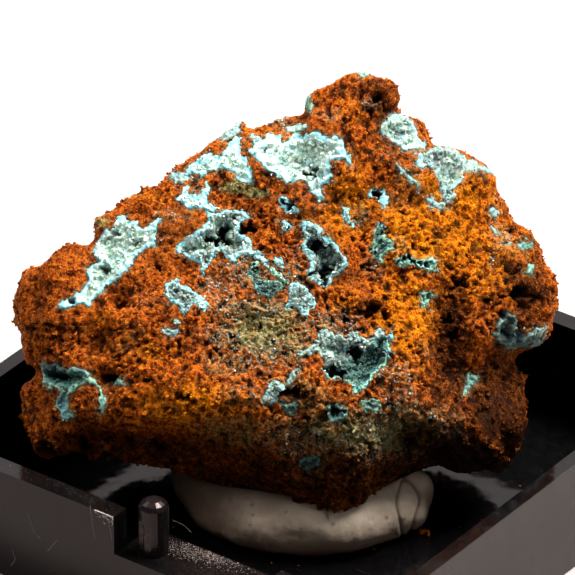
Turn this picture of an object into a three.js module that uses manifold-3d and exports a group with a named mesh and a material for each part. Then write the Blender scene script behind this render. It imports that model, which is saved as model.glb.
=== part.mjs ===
// Senegalite specimen: pale green and turquoise crystal druses in pockets of a porous
// rusty limonite matrix, held by a roll of grey putty in a shallow black plastic tray.
// Millimetres, +Z up. Origin at the middle of the tray's underside.
import * as THREE from 'three';
import { mergeVertices } from 'three/addons/utils/BufferGeometryUtils.js';
import Module from 'manifold-3d';

// ---------------------------------------------------------------- driving dimensions
const TRAY_SIDE = 36;            // outer side of the square tray
const TRAY_HEIGHT = 7.6;         // underside to rim
const TRAY_FLOOR = 0.8;          // floor thickness
const WALL_X = 1.0;              // walls that run along Y
const WALL_Y = 1.3;              // walls that run along X
const CORNER_R = 0.9;            // outer corner radius in plan
const NOTCH_X0 = -1.4;           // thumb notch in the front wall, along X
const NOTCH_X1 = 10.4;
const NOTCH_DEPTH = 2.7;         // below the rim
const LEDGE_IN = 3.8;            // ledge depth from the outer face of the front wall
const LEDGE_THICK = 1.2;
const POST_D = 1.9;              // latch post in the notch
const POST_TOP = 1.05;           // top of the post above the rim
const POST_X = [0.35];           // one post, at the near end of the notch
const POST_Y = -16.25;

const PUTTY_D = 4.3;             // roll of putty on the tray floor
const GAP = 0.3;                 // clearance between separate solids

const CRUST_DEPTH = 1.5;         // pocket depth under a druse
const CRUST_PROUD = -0.12;       // top of a druse relative to the rock face around it

// ---------------------------------------------------------------- drawing frame
// The rock is laid out in a slanted drawing plane: r runs to the right, u up the plane and
// b out of it. Outlines are given on that plane in drafting units of 1/16 mm or so, read
// from a station STATION mm away, which converts them to millimetres on the rock.
const AZ = 36.33 * Math.PI / 180;
const EL = 31.45 * Math.PI / 180;
const STATION = 588.1;
const UNITS = 9398.1;
const MID = 287.5;
const OFF_R = -1.13;
const OFF_U = 6.96;
const RIGHT = new THREE.Vector3(Math.cos(AZ), Math.sin(AZ), 0);
const NORTH = new THREE.Vector3(-Math.sin(AZ), Math.cos(AZ), 0);
const UP = new THREE.Vector3(-Math.sin(EL) * Math.sin(AZ), Math.sin(EL) * Math.cos(AZ), Math.cos(EL));
const BACK = new THREE.Vector3(Math.sin(AZ) * Math.cos(EL), -Math.cos(AZ) * Math.cos(EL), Math.sin(EL));
const RIM = new THREE.Vector3(0, 0, TRAY_HEIGHT);

const place = (x, y, b) => {
  const d = STATION - b;
  return RIM.clone()
    .addScaledVector(RIGHT, OFF_R + (x - MID) * d / UNITS)
    .addScaledVector(UP, OFF_U + (MID - y) * d / UNITS)
    .addScaledVector(BACK, b);
};
const plan = (r, n, z) => RIM.clone().addScaledVector(RIGHT, r).addScaledVector(NORTH, n).setZ(TRAY_HEIGHT + z);
const toDrawing = (p) => {
  const v = p.clone().sub(RIM);
  const d = STATION - v.dot(BACK);
  return [MID + UNITS * (v.dot(RIGHT) - OFF_R) / d, MID - UNITS * (v.dot(UP) - OFF_U) / d];
};

// ---------------------------------------------------------------- rock outline and faces
const CENTRE = [290, 310, 1.0];  // middle of the rock on the drawing, and its b in mm
const OUTLINE = [
  [10, 303], [11, 311], [15, 322], [19, 333], [21, 346], [24, 359], [28, 372], [23, 383], [20, 393], [22, 405],
  [22, 419], [23, 431], [25, 441], [31, 450], [36, 457], [46, 465], [65, 469], [84, 469], [126, 469], [153, 473],
  [184, 483], [215, 487], [240, 489], [261, 492], [273, 495], [284, 500], [300, 506], [318, 511], [330, 512],
  [345, 507], [368, 495], [385, 487], [399, 480], [414, 473], [430, 470], [445, 468], [459, 468], [470, 473],
  [482, 477], [492, 477], [497, 470], [499, 455], [506, 441], [516, 432], [523, 424], [526, 412], [527, 397],
  [526, 380], [521, 369], [519, 361], [526, 354], [533, 350], [544, 343], [551, 337], [554, 331], [553, 323],
  [554, 316], [557, 309], [554, 299], [556, 291], [555, 281], [552, 273], [547, 266], [543, 256], [540, 247],
  [537, 237], [530, 232], [521, 228], [517, 221], [512, 217], [509, 206], [505, 196], [500, 188], [496, 177],
  [491, 169], [484, 163], [472, 154], [459, 148], [446, 145], [436, 144], [431, 140], [428, 128], [421, 121],
  [412, 117], [404, 112], [401, 104], [399, 96], [400, 91], [396, 84], [390, 76], [383, 73], [375, 72], [368, 69],
  [361, 70], [350, 69], [340, 76], [331, 82], [318, 87], [308, 92], [304, 102], [302, 110], [291, 114],
  [277, 116], [263, 122], [250, 127], [243, 122], [236, 125], [222, 135], [205, 148], [193, 157], [176, 167],
  [159, 184], [134, 198], [115, 209], [105, 211], [94, 215], [90, 224], [91, 236], [83, 240], [72, 241],
  [61, 246], [49, 259], [40, 264], [30, 265], [23, 269], [18, 280], [14, 293],
];

// Faces of the rough block: outward normal in (right, north, up) and a point on it in mm,
// north being away along the floor and up measured from the tray rim.
const FACES = [
  [[0.0, -0.712, 0.702], [-3, -2.5, 10.9]],
  [[-0.42, -0.62, 0.66], [-10.35, -1.35, 10.26]],
  [[0.50, -0.60, 0.62], [7.8, -3.1, 9.9]],
  [[0.0, -0.977, -0.214], [-2, -9.2, 4.3]],
  [[0.55, -0.80, -0.22], [10.3, -5.4, 3.1]],
  [[-0.35, -0.92, -0.15], [-12.9, -5.4, 3.1]],
  [[0.0, 0.0, -1.0], [0, 0, -5.0]],
  [[-0.22, 0.05, -0.97], [-12, 0, -2.2]],
  [[0.25, 0.05, -0.96], [11.5, 0, -2.6]],
  [[0.0, 0.99, -0.1], [0, 13.0, 3]],
  [[-0.5, 0.86, 0.0], [-10.7, 10.2, 0]],
  [[0.55, 0.83, 0.0], [11.5, 9.4, 0]],
  [[0.05, 0.66, 0.75], [0, 7.0, 17.2]],
];
// Lumps on the block: direction in (right, north, up), angular width in radians, height mm.
const LUMPS = [
  [[4.7, 2.9, 15.7], 0.26, 3.4],
  [[8.0, 1.0, 12.0], 0.22, 1.2],
  [[-8.0, 6.0, 9.0], 0.35, -0.8],
  [[2.0, 11.0, 4.0], 0.30, 1.0],
  [[9.0, 9.0, 1.0], 0.28, 0.8],
  [[-9.0, 8.0, -2.0], 0.30, 0.9],
  [[-3.0, 9.0, 9.0], 0.22, -1.0],
];
// Relief of the near side: drawing x, y, radius, height mm.
const RELIEF = [
  [445, 305, 24, -0.9], [449, 340, 26, -1.3], [455, 378, 24, -1.0], [490, 378, 30, -1.3], [520, 295, 38, 1.1],
  [508, 405, 20, 0.7], [340, 455, 52, 0.9], [70, 415, 34, 0.7], [130, 405, 36, 0.8], [190, 402, 34, 0.9],
  [240, 392, 30, 0.8], [110, 452, 30, -1.0], [170, 452, 30, -1.1], [230, 450, 32, -1.0], [95, 342, 14, -0.8],
  [112, 378, 13, -0.8], [55, 325, 32, 0.9], [60, 272, 26, 0.8], [258, 165, 13, 0.6], [300, 203, 12, 0.6],
  [325, 235, 11, 0.7], [345, 265, 12, 0.8], [356, 300, 15, 0.6], [255, 335, 42, -0.6], [420, 175, 24, 0.6],
  [470, 185, 26, 0.6], [410, 235, 34, 0.5], [345, 175, 16, 0.5], [195, 230, 16, 0.6], [140, 320, 34, 0.5],
  [420, 410, 30, 0.6], [400, 446, 24, -0.9], [300, 430, 26, -0.6],
];

// ---------------------------------------------------------------- small value noise
const hash = (x, y, z) => {
  let h = (Math.imul(x, 374761393) ^ Math.imul(y, 668265263) ^ Math.imul(z, 1274126177)) | 0;
  h = Math.imul(h ^ (h >>> 13), 1103515245);
  h = h ^ (h >>> 16);
  return ((h >>> 0) % 65536) / 65535 * 2 - 1;
};
const smooth = (t) => t * t * (3 - 2 * t);
const noise = (x, y, z) => {
  const xi = Math.floor(x), yi = Math.floor(y), zi = Math.floor(z);
  const u = smooth(x - xi), v = smooth(y - yi), w = smooth(z - zi);
  const l = (a, b, t) => a + (b - a) * t;
  return l(
    l(l(hash(xi, yi, zi), hash(xi + 1, yi, zi), u), l(hash(xi, yi + 1, zi), hash(xi + 1, yi + 1, zi), u), v),
    l(l(hash(xi, yi, zi + 1), hash(xi + 1, yi, zi + 1), u), l(hash(xi, yi + 1, zi + 1), hash(xi + 1, yi + 1, zi + 1), u), v),
    w);
};

// ---------------------------------------------------------------- rock radius by direction
const outlineRadius = (() => {
  const polar = OUTLINE.map(([x, y]) => [Math.atan2(CENTRE[1] - y, x - CENTRE[0]), Math.hypot(x - CENTRE[0], y - CENTRE[1])]);
  return (a) => {
    // nearest crossing of the ray with the outline
    const dx = Math.cos(a), dy = -Math.sin(a);
    let best = 0;
    for (let i = 0; i < OUTLINE.length; i++) {
      const [x0, y0] = OUTLINE[i], [x1, y1] = OUTLINE[(i + 1) % OUTLINE.length];
      const ex = x1 - x0, ey = y1 - y0, px = x0 - CENTRE[0], py = y0 - CENTRE[1];
      const den = dx * ey - dy * ex;
      if (Math.abs(den) < 1e-9) continue;
      const t = (px * ey - py * ex) / den, s = (px * dy - py * dx) / den;
      if (t > 0 && s >= 0 && s <= 1) best = Math.max(best, t);
    }
    return best || polar[0][1];
  };
})();
const STEPS = 360;
const target = Array.from({ length: STEPS }, (_, i) => outlineRadius(i / STEPS * 2 * Math.PI - Math.PI));
const tuned = target.slice();
const lookup = (table, a) => {
  const t = ((a + Math.PI) / (2 * Math.PI) * STEPS + STEPS) % STEPS;
  const i = Math.floor(t) % STEPS;
  return table[i] + (table[(i + 1) % STEPS] - table[i]) * (t - Math.floor(t));
};

const mid = place(...CENTRE);
const basis = (v) => new THREE.Vector3().addScaledVector(RIGHT, v[0]).addScaledVector(NORTH, v[1]).add(new THREE.Vector3(0, 0, v[2]));
const faces = FACES.map(([n, p]) => {
  const normal = basis(n).normalize();
  return [normal, plan(...p).sub(mid).dot(normal)];
});
const lumps = LUMPS.map(([d, w, h]) => [basis(d).normalize(), w, h]);
const SHARP = 9;

// behind the profile the outline is evened out, so that its small steps don't run back as ribs
const even = (table) => table.map((_, i) => {
  let sum = 0, weight = 0;
  for (let k = -14; k <= 14; k++) {
    const w = Math.exp(-k * k / 70);
    sum += w * table[(i + k + STEPS) % STEPS];
    weight += w;
  }
  return sum / weight * 0.95;
});
let evened = even(tuned);
const radius = (ca, sa, cb, sb, a, table) => {
  const dir = new THREE.Vector3().addScaledVector(RIGHT, cb * ca).addScaledVector(UP, cb * sa).addScaledVector(BACK, sb);
  let sum = 0;
  for (const [n, d] of faces) {
    const c = n.dot(dir);
    if (c > 0.02) sum += Math.pow(c / d, SHARP);
  }
  let block = Math.pow(sum, -1 / SHARP);
  for (const [d, w, h] of lumps) {
    const g = Math.acos(Math.min(1, d.dot(dir))) / w;
    block += h * Math.exp(-g * g);
  }
  const away = smooth(Math.min(1, Math.max(0, (-sb - 0.12) / 0.4)));
  const s = lookup(table, a) * (1 - away) + lookup(evened, a) * away;
  const den = UNITS * cb + s * sb;
  const cone = den > 1e-6 ? s * (STATION - CENTRE[2]) / den : 1e6;
  return [Math.pow(Math.pow(block, -SHARP) + Math.pow(cone, -SHARP), -1 / SHARP), dir];
};
for (let pass = 0; pass < 4; pass++) {
  for (let i = 0; i < STEPS; i++) {
    const a = i / STEPS * 2 * Math.PI - Math.PI, ca = Math.cos(a), sa = Math.sin(a);
    let reach = 0;
    for (let k = -60; k <= 60; k++) {
      const b = k * Math.PI / 180, cb = Math.cos(b), sb = Math.sin(b);
      const [r] = radius(ca, sa, cb, sb, a, tuned);
      reach = Math.max(reach, UNITS * r * cb / (STATION - CENTRE[2] - r * sb));
    }
    tuned[i] = Math.min(tuned[i] * target[i] / reach, target[i] * 1.35);
  }
  evened = even(tuned);
}

// ---------------------------------------------------------------- solids from geometries
const wasm = await Module();
wasm.setup();
const closed = (geometry) => {
  const g = geometry.clone();
  for (const name of Object.keys(g.attributes)) if (name !== 'position') g.deleteAttribute(name);
  return mergeVertices(g, 1e-4);
};
const solid = (geometry) => {
  const g = closed(geometry);
  return new wasm.Manifold(new wasm.Mesh({
    numProp: 3,
    vertProperties: Float32Array.from(g.attributes.position.array),
    triVerts: Uint32Array.from(g.index.array),
  }));
};
const surface = (manifold) => {
  const m = manifold.getMesh();
  const g = new THREE.BufferGeometry();
  const p = new Float32Array(m.numVert * 3);
  for (let i = 0; i < m.numVert; i++) for (let k = 0; k < 3; k++) p[3 * i + k] = m.vertProperties[m.numProp * i + k];
  g.setAttribute('position', new THREE.BufferAttribute(p, 3));
  g.setIndex(Array.from(m.triVerts));
  g.computeVertexNormals();
  return g;
};

// ---------------------------------------------------------------- the rock block
const block = closed(new THREE.IcosahedronGeometry(1, 10));
{
  const p = block.attributes.position;
  for (let i = 0; i < p.count; i++) {
    const v = new THREE.Vector3().fromBufferAttribute(p, i).normalize();
    const cb = Math.hypot(v.x, v.y), sb = v.z;
    const a = Math.atan2(v.y, v.x);
    const [r, dir] = radius(Math.cos(a), Math.sin(a), cb, sb, a, tuned);
    const q = mid.clone().addScaledVector(dir, r);
    p.setXYZ(i, q.x, q.y, q.z);
  }
  block.computeVertexNormals();
  const n = block.attributes.normal;
  const out = new Float32Array(p.count * 3);
  for (let i = 0; i < p.count; i++) {
    const q = new THREE.Vector3().fromBufferAttribute(p, i);
    const m = new THREE.Vector3().fromBufferAttribute(n, i);
    const facing = m.dot(BACK);
    const [x, y] = toDrawing(q);
    let h = 0;
    if (facing > 0.05) {
      for (const [rx, ry, rad, amp] of RELIEF) {
        const e = ((x - rx) ** 2 + (y - ry) ** 2) / (rad * rad);
        if (e < 8) h += amp * Math.exp(-e) * Math.min(1, facing * 2);
      }
    }
    // coarse roughness, kept off the outline edge so that the profile stays true
    const rough = 0.42 * noise(q.x / 3.1, q.y / 3.1, q.z / 3.1) + 0.26 * noise(q.x / 1.5 + 7, q.y / 1.5, q.z / 1.5);
    h += rough * (facing > 0.25 ? 0.9 : facing < -0.2 ? 1.6 : 0.35);
    out[3 * i] = q.x + m.x * h; out[3 * i + 1] = q.y + m.y * h; out[3 * i + 2] = q.z + m.z * h;
  }
  p.array.set(out);
  block.computeVertexNormals();
}
const shifted = (by) => {
  const g = block.clone();
  const p = g.attributes.position, n = block.attributes.normal;
  for (let i = 0; i < p.count; i++) p.setXYZ(i, p.getX(i) + n.getX(i) * by, p.getY(i) + n.getY(i) * by, p.getZ(i) + n.getZ(i) * by);
  return solid(g);
};

// ---------------------------------------------------------------- druses in their pockets
// Outlines on the drawing; each druse fills one pocket of the matrix.
const DRUSES = {
  druse_top_center: [[252, 135], [270, 136], [296, 134], [318, 132], [338, 138], [350, 157], [347, 164], [331, 163],
    [332, 180], [322, 189], [325, 201], [317, 199], [304, 182], [284, 181], [263, 165], [249, 149]],
  druse_top_left: [[188, 171], [207, 154], [224, 154], [230, 141], [240, 139], [242, 155], [249, 166], [250, 184],
    [240, 182], [226, 169], [202, 175]],
  druse_upper_left: [[177, 196], [186, 187], [196, 195], [207, 185], [208, 203], [196, 207], [181, 205]],
  druse_left: [[124, 214], [140, 227], [158, 221], [156, 246], [141, 252], [123, 275], [104, 290], [88, 304],
    [66, 308], [86, 286], [90, 267], [97, 256], [98, 240], [114, 225]],
  druse_mid_left: [[208, 211], [226, 210], [247, 213], [240, 226], [253, 244], [250, 254], [232, 260], [216, 252],
    [206, 270], [198, 259], [178, 250], [186, 238], [205, 228]],
  druse_squiggle: [[250, 262], [258, 274], [272, 283], [282, 286], [274, 297], [260, 298], [254, 284], [248, 274]],
  druse_mid_right: [[302, 224], [318, 226], [336, 247], [346, 263], [334, 280], [323, 287], [307, 272], [311, 258],
    [301, 246]],
  druse_right_top: [[382, 128], [392, 117], [406, 116], [415, 127], [425, 141], [422, 149], [404, 151], [383, 137]],
  druse_right_upper: [[412, 153], [434, 149], [456, 152], [466, 162], [488, 169], [464, 171], [456, 190], [446, 199],
    [439, 178], [431, 166], [417, 163]],
  druse_center: [[289, 288], [302, 283], [314, 301], [304, 314], [299, 306], [287, 306]],
  druse_patch_left: [[164, 289], [176, 281], [204, 298], [206, 310], [186, 313], [174, 303]],
  druse_lower: [[322, 336], [340, 338], [352, 334], [372, 341], [389, 334], [391, 352], [378, 374], [358, 391],
    [344, 378], [327, 376], [325, 360], [312, 351]],
  druse_low_left: [[38, 364], [62, 366], [88, 371], [95, 380], [80, 386], [71, 398], [74, 416], [59, 409],
    [60, 391], [41, 381]],
  druse_right: [[498, 327], [512, 316], [520, 334], [543, 329], [536, 344], [514, 348], [498, 342]],
};
const PALE = new Set(['druse_right', 'druse_right_top', 'druse_right_upper']);

const grown = (ring, by) => {
  // outline moved out (by > 0) or in along its corner bisectors
  let area = 0;
  ring.forEach(([x, y], i) => { const [u, v] = ring[(i + 1) % ring.length]; area += x * v - u * y; });
  const s = area > 0 ? 1 : -1;
  return ring.map((p, i) => {
    const a = ring[(i + ring.length - 1) % ring.length], c = ring[(i + 1) % ring.length];
    const n1 = new THREE.Vector2(p[1] - a[1], a[0] - p[0]).normalize();
    const n2 = new THREE.Vector2(c[1] - p[1], p[0] - c[0]).normalize();
    const n = n1.add(n2);
    const l = Math.max(0.9, n.lengthSq() / 2);
    return [p[0] + s * n.x / l * by, p[1] + s * n.y / l * by];
  });
};
const prism = (ring, near, far) => {
  // straight-sided cutter across the drawing plane, between two depths b
  const local = ring.map(([x, y]) => {
    const v = place(x, y, 7).sub(RIM);
    return new THREE.Vector2(v.dot(RIGHT), v.dot(UP));
  });
  const g = new THREE.ExtrudeGeometry(new THREE.Shape(local), { depth: far - near, bevelEnabled: false, steps: 1, curveSegments: 1 });
  g.applyMatrix4(new THREE.Matrix4().makeBasis(RIGHT, UP, BACK));
  g.translate(RIM.x + BACK.x * near, RIM.y + BACK.y * near, RIM.z + BACK.z * near);
  return solid(g);
};

let matrix = solid(block);
const floorOfPocket = shifted(-CRUST_DEPTH);
const underDruse = shifted(-CRUST_DEPTH + GAP);
const topOfDruse = shifted(CRUST_PROUD);
const druses = {};
for (const [name, ring] of Object.entries(DRUSES)) {
  const pocket = prism(grown(ring, 2.4), 0, 20).subtract(floorOfPocket);
  matrix = matrix.subtract(pocket);
  druses[name] = prism(grown(ring, -2.4), 0, 20).intersect(topOfDruse).subtract(underDruse);
}
// open vugs: the deep dark mouths that the crystals leave in the middle of a druse
const VUGS = [
  ['druse_mid_left', 222, 236, 0.75], ['druse_mid_right', 322, 272, 0.8], ['druse_mid_right', 322, 246, 0.7],
  ['druse_lower', 334, 369, 0.75], ['druse_lower', 358, 356, 0.7], ['druse_top_center', 309, 172, 0.42],
  ['druse_low_left', 50, 373, 0.6],
];

// ---------------------------------------------------------------- tray
const rounded = (w, d, r) => {
  const s = new THREE.Shape(), x = w / 2, y = d / 2;
  s.moveTo(-x + r, -y); s.lineTo(x - r, -y); s.absarc(x - r, -y + r, r, -Math.PI / 2, 0, false);
  s.lineTo(x, y - r); s.absarc(x - r, y - r, r, 0, Math.PI / 2, false);
  s.lineTo(-x + r, y); s.absarc(-x + r, y - r, r, Math.PI / 2, Math.PI, false);
  s.lineTo(-x, -y + r); s.absarc(-x + r, -y + r, r, Math.PI, Math.PI * 1.5, false);
  return s;
};
const slab = (shape, z0, z1, segments = 4) => {
  const g = new THREE.ExtrudeGeometry(shape, { depth: z1 - z0, bevelEnabled: false, steps: 1, curveSegments: segments });
  g.translate(0, 0, z0);
  return solid(g);
};
const boxOf = (x0, x1, y0, y1, z0, z1) => {
  const g = new THREE.BoxGeometry(x1 - x0, y1 - y0, z1 - z0);
  g.translate((x0 + x1) / 2, (y0 + y1) / 2, (z0 + z1) / 2);
  return solid(g);
};
const half = TRAY_SIDE / 2;
let tray = slab(rounded(TRAY_SIDE, TRAY_SIDE, CORNER_R), 0, TRAY_HEIGHT);
tray = tray.subtract(slab(rounded(TRAY_SIDE - 2 * WALL_X, TRAY_SIDE - 2 * WALL_Y, 0.5), TRAY_FLOOR, TRAY_HEIGHT + 2, 3));
const ledgeZ = TRAY_HEIGHT - NOTCH_DEPTH;
tray = tray.subtract(boxOf(NOTCH_X0, NOTCH_X1, -half - 1, -half + WALL_Y + 0.2, ledgeZ, TRAY_HEIGHT + 1));
tray = tray.add(boxOf(NOTCH_X0, NOTCH_X1, -half + 0.4, -half + LEDGE_IN, ledgeZ - LEDGE_THICK, ledgeZ));
for (const x of POST_X) {
  const top = ledgeZ + NOTCH_DEPTH + POST_TOP;
  const g = new THREE.LatheGeometry([
    new THREE.Vector2(0, ledgeZ - LEDGE_THICK / 2), new THREE.Vector2(POST_D / 2, ledgeZ - LEDGE_THICK / 2),
    new THREE.Vector2(POST_D / 2, top - 0.45), new THREE.Vector2(POST_D / 2 - 0.18, top - 0.18),
    new THREE.Vector2(POST_D / 2 - 0.5, top), new THREE.Vector2(0, top),
  ], 14);
  g.rotateX(Math.PI / 2);
  g.translate(x, POST_Y, 0);
  let post = solid(g);
  // shallow upright recess on the post's outer face
  const slot = new THREE.CapsuleGeometry(0.36, 1.3, 3, 8);
  slot.rotateX(Math.PI / 2);
  slot.translate(x - 0.35, POST_Y - 1.0, ledgeZ + 1.55);
  post = post.subtract(solid(slot));
  tray = tray.add(post);
}

// ---------------------------------------------------------------- putty roll
const PUTTY_PATH = [[-6.4, 1.0], [-6.2, -1.6], [-5.0, -4.2], [-2.5, -6.0], [0.4, -6.6], [2.8, -6.1], [4.6, -5.1], [6.0, -4.0]];
const puttyZ = TRAY_FLOOR + PUTTY_D / 2 - 0.25;
const path = new THREE.CatmullRomCurve3(PUTTY_PATH.map(([r, n]) => plan(r, n, puttyZ - TRAY_HEIGHT)));
const section = new THREE.Shape();
section.absarc(0, 0, PUTTY_D / 2, 0, Math.PI * 2, false);
let putty = solid(new THREE.ExtrudeGeometry(section, { steps: 13, curveSegments: 5, extrudePath: path, bevelEnabled: false }));
for (const end of [PUTTY_PATH[0], PUTTY_PATH[PUTTY_PATH.length - 1]]) {
  const g = new THREE.SphereGeometry(PUTTY_D / 2 * 0.99, 10, 6);
  const c = plan(end[0], end[1], puttyZ - TRAY_HEIGHT);
  g.translate(c.x, c.y, c.z);
  putty = putty.add(solid(g));
}
putty = putty.intersect(boxOf(-half + 2, half - 2, -half + 2, half - 2, TRAY_FLOOR + 0.1, TRAY_HEIGHT + 5));
putty = putty.subtract(shifted(GAP));

// ---------------------------------------------------------------- scene graph
const part = new THREE.Group();
const put = (name, manifold, color, roughness, metalness = 0) => {
  const mesh = new THREE.Mesh(surface(manifold), new THREE.MeshStandardMaterial({ color, roughness, metalness }));
  mesh.name = name;
  part.add(mesh);
};
for (const [node, x, y, r] of VUGS) {
  const c = place(x, y, 0);
  // the mouth sits on the rock face: walk out along b until the druse is met
  const g = new THREE.IcosahedronGeometry(r, 1);
  const depth = 9 - 0.012 * Math.abs(x - 290) - (y < 200 ? 2.2 : 0);
  c.copy(place(x, y, depth));
  g.translate(c.x, c.y, c.z);
  druses[node] = druses[node].subtract(solid(g));
}
// the main body of a solid, without slivers that an outline leaves at an edge
const body = (m) => m.decompose().sort((a, b) => b.volume() - a.volume())[0];
put('tray', tray, 0x0b0b0c, 0.18);
put('putty', body(putty), 0x9c9389, 0.75);
put('matrix', body(matrix), 0xa0501a, 0.95);
for (const [name, m] of Object.entries(druses)) put(name, body(m), PALE.has(name) ? 0xb9c4bd : 0x9fd0c8, 0.35);

export default part;
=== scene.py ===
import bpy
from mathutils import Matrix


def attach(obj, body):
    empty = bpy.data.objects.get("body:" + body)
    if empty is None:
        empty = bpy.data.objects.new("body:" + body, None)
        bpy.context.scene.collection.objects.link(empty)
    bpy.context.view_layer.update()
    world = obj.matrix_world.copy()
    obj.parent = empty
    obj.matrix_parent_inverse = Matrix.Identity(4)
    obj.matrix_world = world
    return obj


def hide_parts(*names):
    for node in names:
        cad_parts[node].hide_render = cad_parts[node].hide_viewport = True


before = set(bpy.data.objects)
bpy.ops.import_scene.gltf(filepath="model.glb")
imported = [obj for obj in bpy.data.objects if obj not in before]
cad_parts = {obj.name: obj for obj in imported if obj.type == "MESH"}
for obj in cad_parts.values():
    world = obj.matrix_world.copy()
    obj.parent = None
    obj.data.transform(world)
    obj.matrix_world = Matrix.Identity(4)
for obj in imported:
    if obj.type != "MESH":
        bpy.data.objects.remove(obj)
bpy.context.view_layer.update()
import math

import bpy
import numpy as np
from mathutils import Matrix, Vector

RNG = np.random.default_rng(41)
MM = 0.001

# ------------------------------------------------------------------ drawing plane
AZ, EL = math.radians(36.33), math.radians(31.45)
STATION, UNITS, MID, OFF_R, OFF_U = 588.1, 9398.1, 287.5, -1.13, 6.96
TRAY_HEIGHT = 7.6
RIGHT = np.array([math.cos(AZ), math.sin(AZ), 0.0])
NORTH = np.array([-math.sin(AZ), math.cos(AZ), 0.0])
UP = np.array([-math.sin(EL) * math.sin(AZ), math.sin(EL) * math.cos(AZ), math.cos(EL)])
BACK = np.array([math.sin(AZ) * math.cos(EL), -math.cos(AZ) * math.cos(EL), math.sin(EL)])
RIM = np.array([0.0, 0.0, TRAY_HEIGHT])


def place(x, y, b):
    d = STATION - b
    return RIM + np.multiply.outer(OFF_R + (x - MID) * d / UNITS, RIGHT) + np.multiply.outer(OFF_U + (MID - y) * d / UNITS, UP) + np.multiply.outer(b + 0 * x, BACK)


def to_drawing(p):
    v = p - RIM
    d = STATION - v @ BACK
    return MID + UNITS * (v @ RIGHT - OFF_R) / d, MID - UNITS * (v @ UP - OFF_U) / d


def plan(r, n, z):
    return np.array([0, 0, TRAY_HEIGHT + z]) + RIGHT * r + NORTH * n


# ------------------------------------------------------------------ noise
def _hash(i, j, k, seed=0):
    h = i.astype(np.uint32) * np.uint32(374761393) ^ j.astype(np.uint32) * np.uint32(668265263) ^ k.astype(np.uint32) * np.uint32(1274126177)
    if seed:
        h = h ^ np.uint32((seed * 974634777) & 0xFFFFFFFF)
    h = (h ^ (h >> np.uint32(13))) * np.uint32(1103515245)
    h = h ^ (h >> np.uint32(16))
    return (h & np.uint32(65535)).astype(np.float64) / 65535 * 2 - 1


def noise(q, seed=0):
    f = np.floor(q)
    t = q - f
    t = t * t * (3 - 2 * t)
    i, j, k = (f[:, c].astype(np.int64) for c in range(3))
    out = 0
    for di in (0, 1):
        wi = t[:, 0] if di else 1 - t[:, 0]
        for dj in (0, 1):
            wj = t[:, 1] if dj else 1 - t[:, 1]
            for dk in (0, 1):
                wk = t[:, 2] if dk else 1 - t[:, 2]
                out = out + wi * wj * wk * _hash(i + di, j + dj, k + dk, seed)
    return out


TURN = np.linalg.qr(np.random.default_rng(5).normal(size=(3, 3)))[0]


def fbm(q, octaves=3, gain=0.5, seed=1):
    out, amp, total = 0, 1.0, 0.0
    for o in range(octaves):
        out = out + amp * noise(q, seed + o)
        total += amp
        q = (q @ TURN) * 2.03 + 3.7
        amp *= gain
    return out / total


def cells(q, seed=11):
    """Distance to the nearest and second nearest scattered point, and that point's own random number."""
    f = np.floor(q)
    t = q - f
    i, j, k = (f[:, c].astype(np.int64) for c in range(3))
    best = np.full(len(q), 9.0)
    second = np.full(len(q), 9.0)
    own = np.zeros(len(q))
    for a in (-1, 0, 1):
        for b in (-1, 0, 1):
            for c in (-1, 0, 1):
                x, y, z = i + a, j + b, k + c
                px = a + 0.5 + 0.45 * _hash(x, y, z, seed) - t[:, 0]
                py = b + 0.5 + 0.45 * _hash(x, y, z, seed + 1) - t[:, 1]
                pz = c + 0.5 + 0.45 * _hash(x, y, z, seed + 2) - t[:, 2]
                d = px * px + py * py + pz * pz
                r = _hash(x, y, z, seed + 3)
                near = d < best
                second = np.where(near, best, np.minimum(second, d))
                own = np.where(near, r, own)
                best = np.where(near, d, best)
    return np.sqrt(best), np.sqrt(second), own * 0.5 + 0.5


def step(a, b, x):
    t = np.clip((x - a) / (b - a), 0, 1)
    return t * t * (3 - 2 * t)


# ------------------------------------------------------------------ meshes
def normals_of(v, f):
    n = np.cross(v[f[:, 1]] - v[f[:, 0]], v[f[:, 2]] - v[f[:, 0]])
    out = np.stack([sum(np.bincount(f[:, c], n[:, k], len(v)) for c in range(3)) for k in range(3)], 1)
    return out / np.maximum(np.linalg.norm(out, axis=1, keepdims=True), 1e-12)


def make(name, v, f, material, attributes=None, smooth=True, replaces=()):
    """A piece from millimetre vertices and triangles, with named point attributes."""
    v, f = np.asarray(v, float), np.asarray(f, np.int64)
    me = bpy.data.meshes.new(name)
    me.vertices.add(len(v))
    me.vertices.foreach_set("co", (v * MM).astype(np.float32).ravel())
    me.loops.add(f.size)
    me.loops.foreach_set("vertex_index", f.astype(np.int32).ravel())
    me.polygons.add(len(f))
    me.polygons.foreach_set("loop_start", (np.arange(len(f)) * f.shape[1]).astype(np.int32))
    me.polygons.foreach_set("use_smooth", np.full(len(f), bool(smooth)))
    me.update(calc_edges=True)
    me.validate()
    for key, values in (attributes or {}).items():
        values = np.asarray(values, np.float32)
        if values.ndim == 1:
            me.attributes.new(key, "FLOAT", "POINT").data.foreach_set("value", values)
        else:
            if values.shape[1] == 3:
                values = np.concatenate([values, np.ones((len(values), 1), np.float32)], 1)
            me.attributes.new(key, "FLOAT_COLOR", "POINT").data.foreach_set("color", values.ravel())
    me.materials.append(material)
    ob = bpy.data.objects.new(name, me)
    bpy.context.scene.collection.objects.link(ob)
    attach(ob, "root")
    if replaces:
        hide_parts(*replaces)
    return ob


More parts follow.
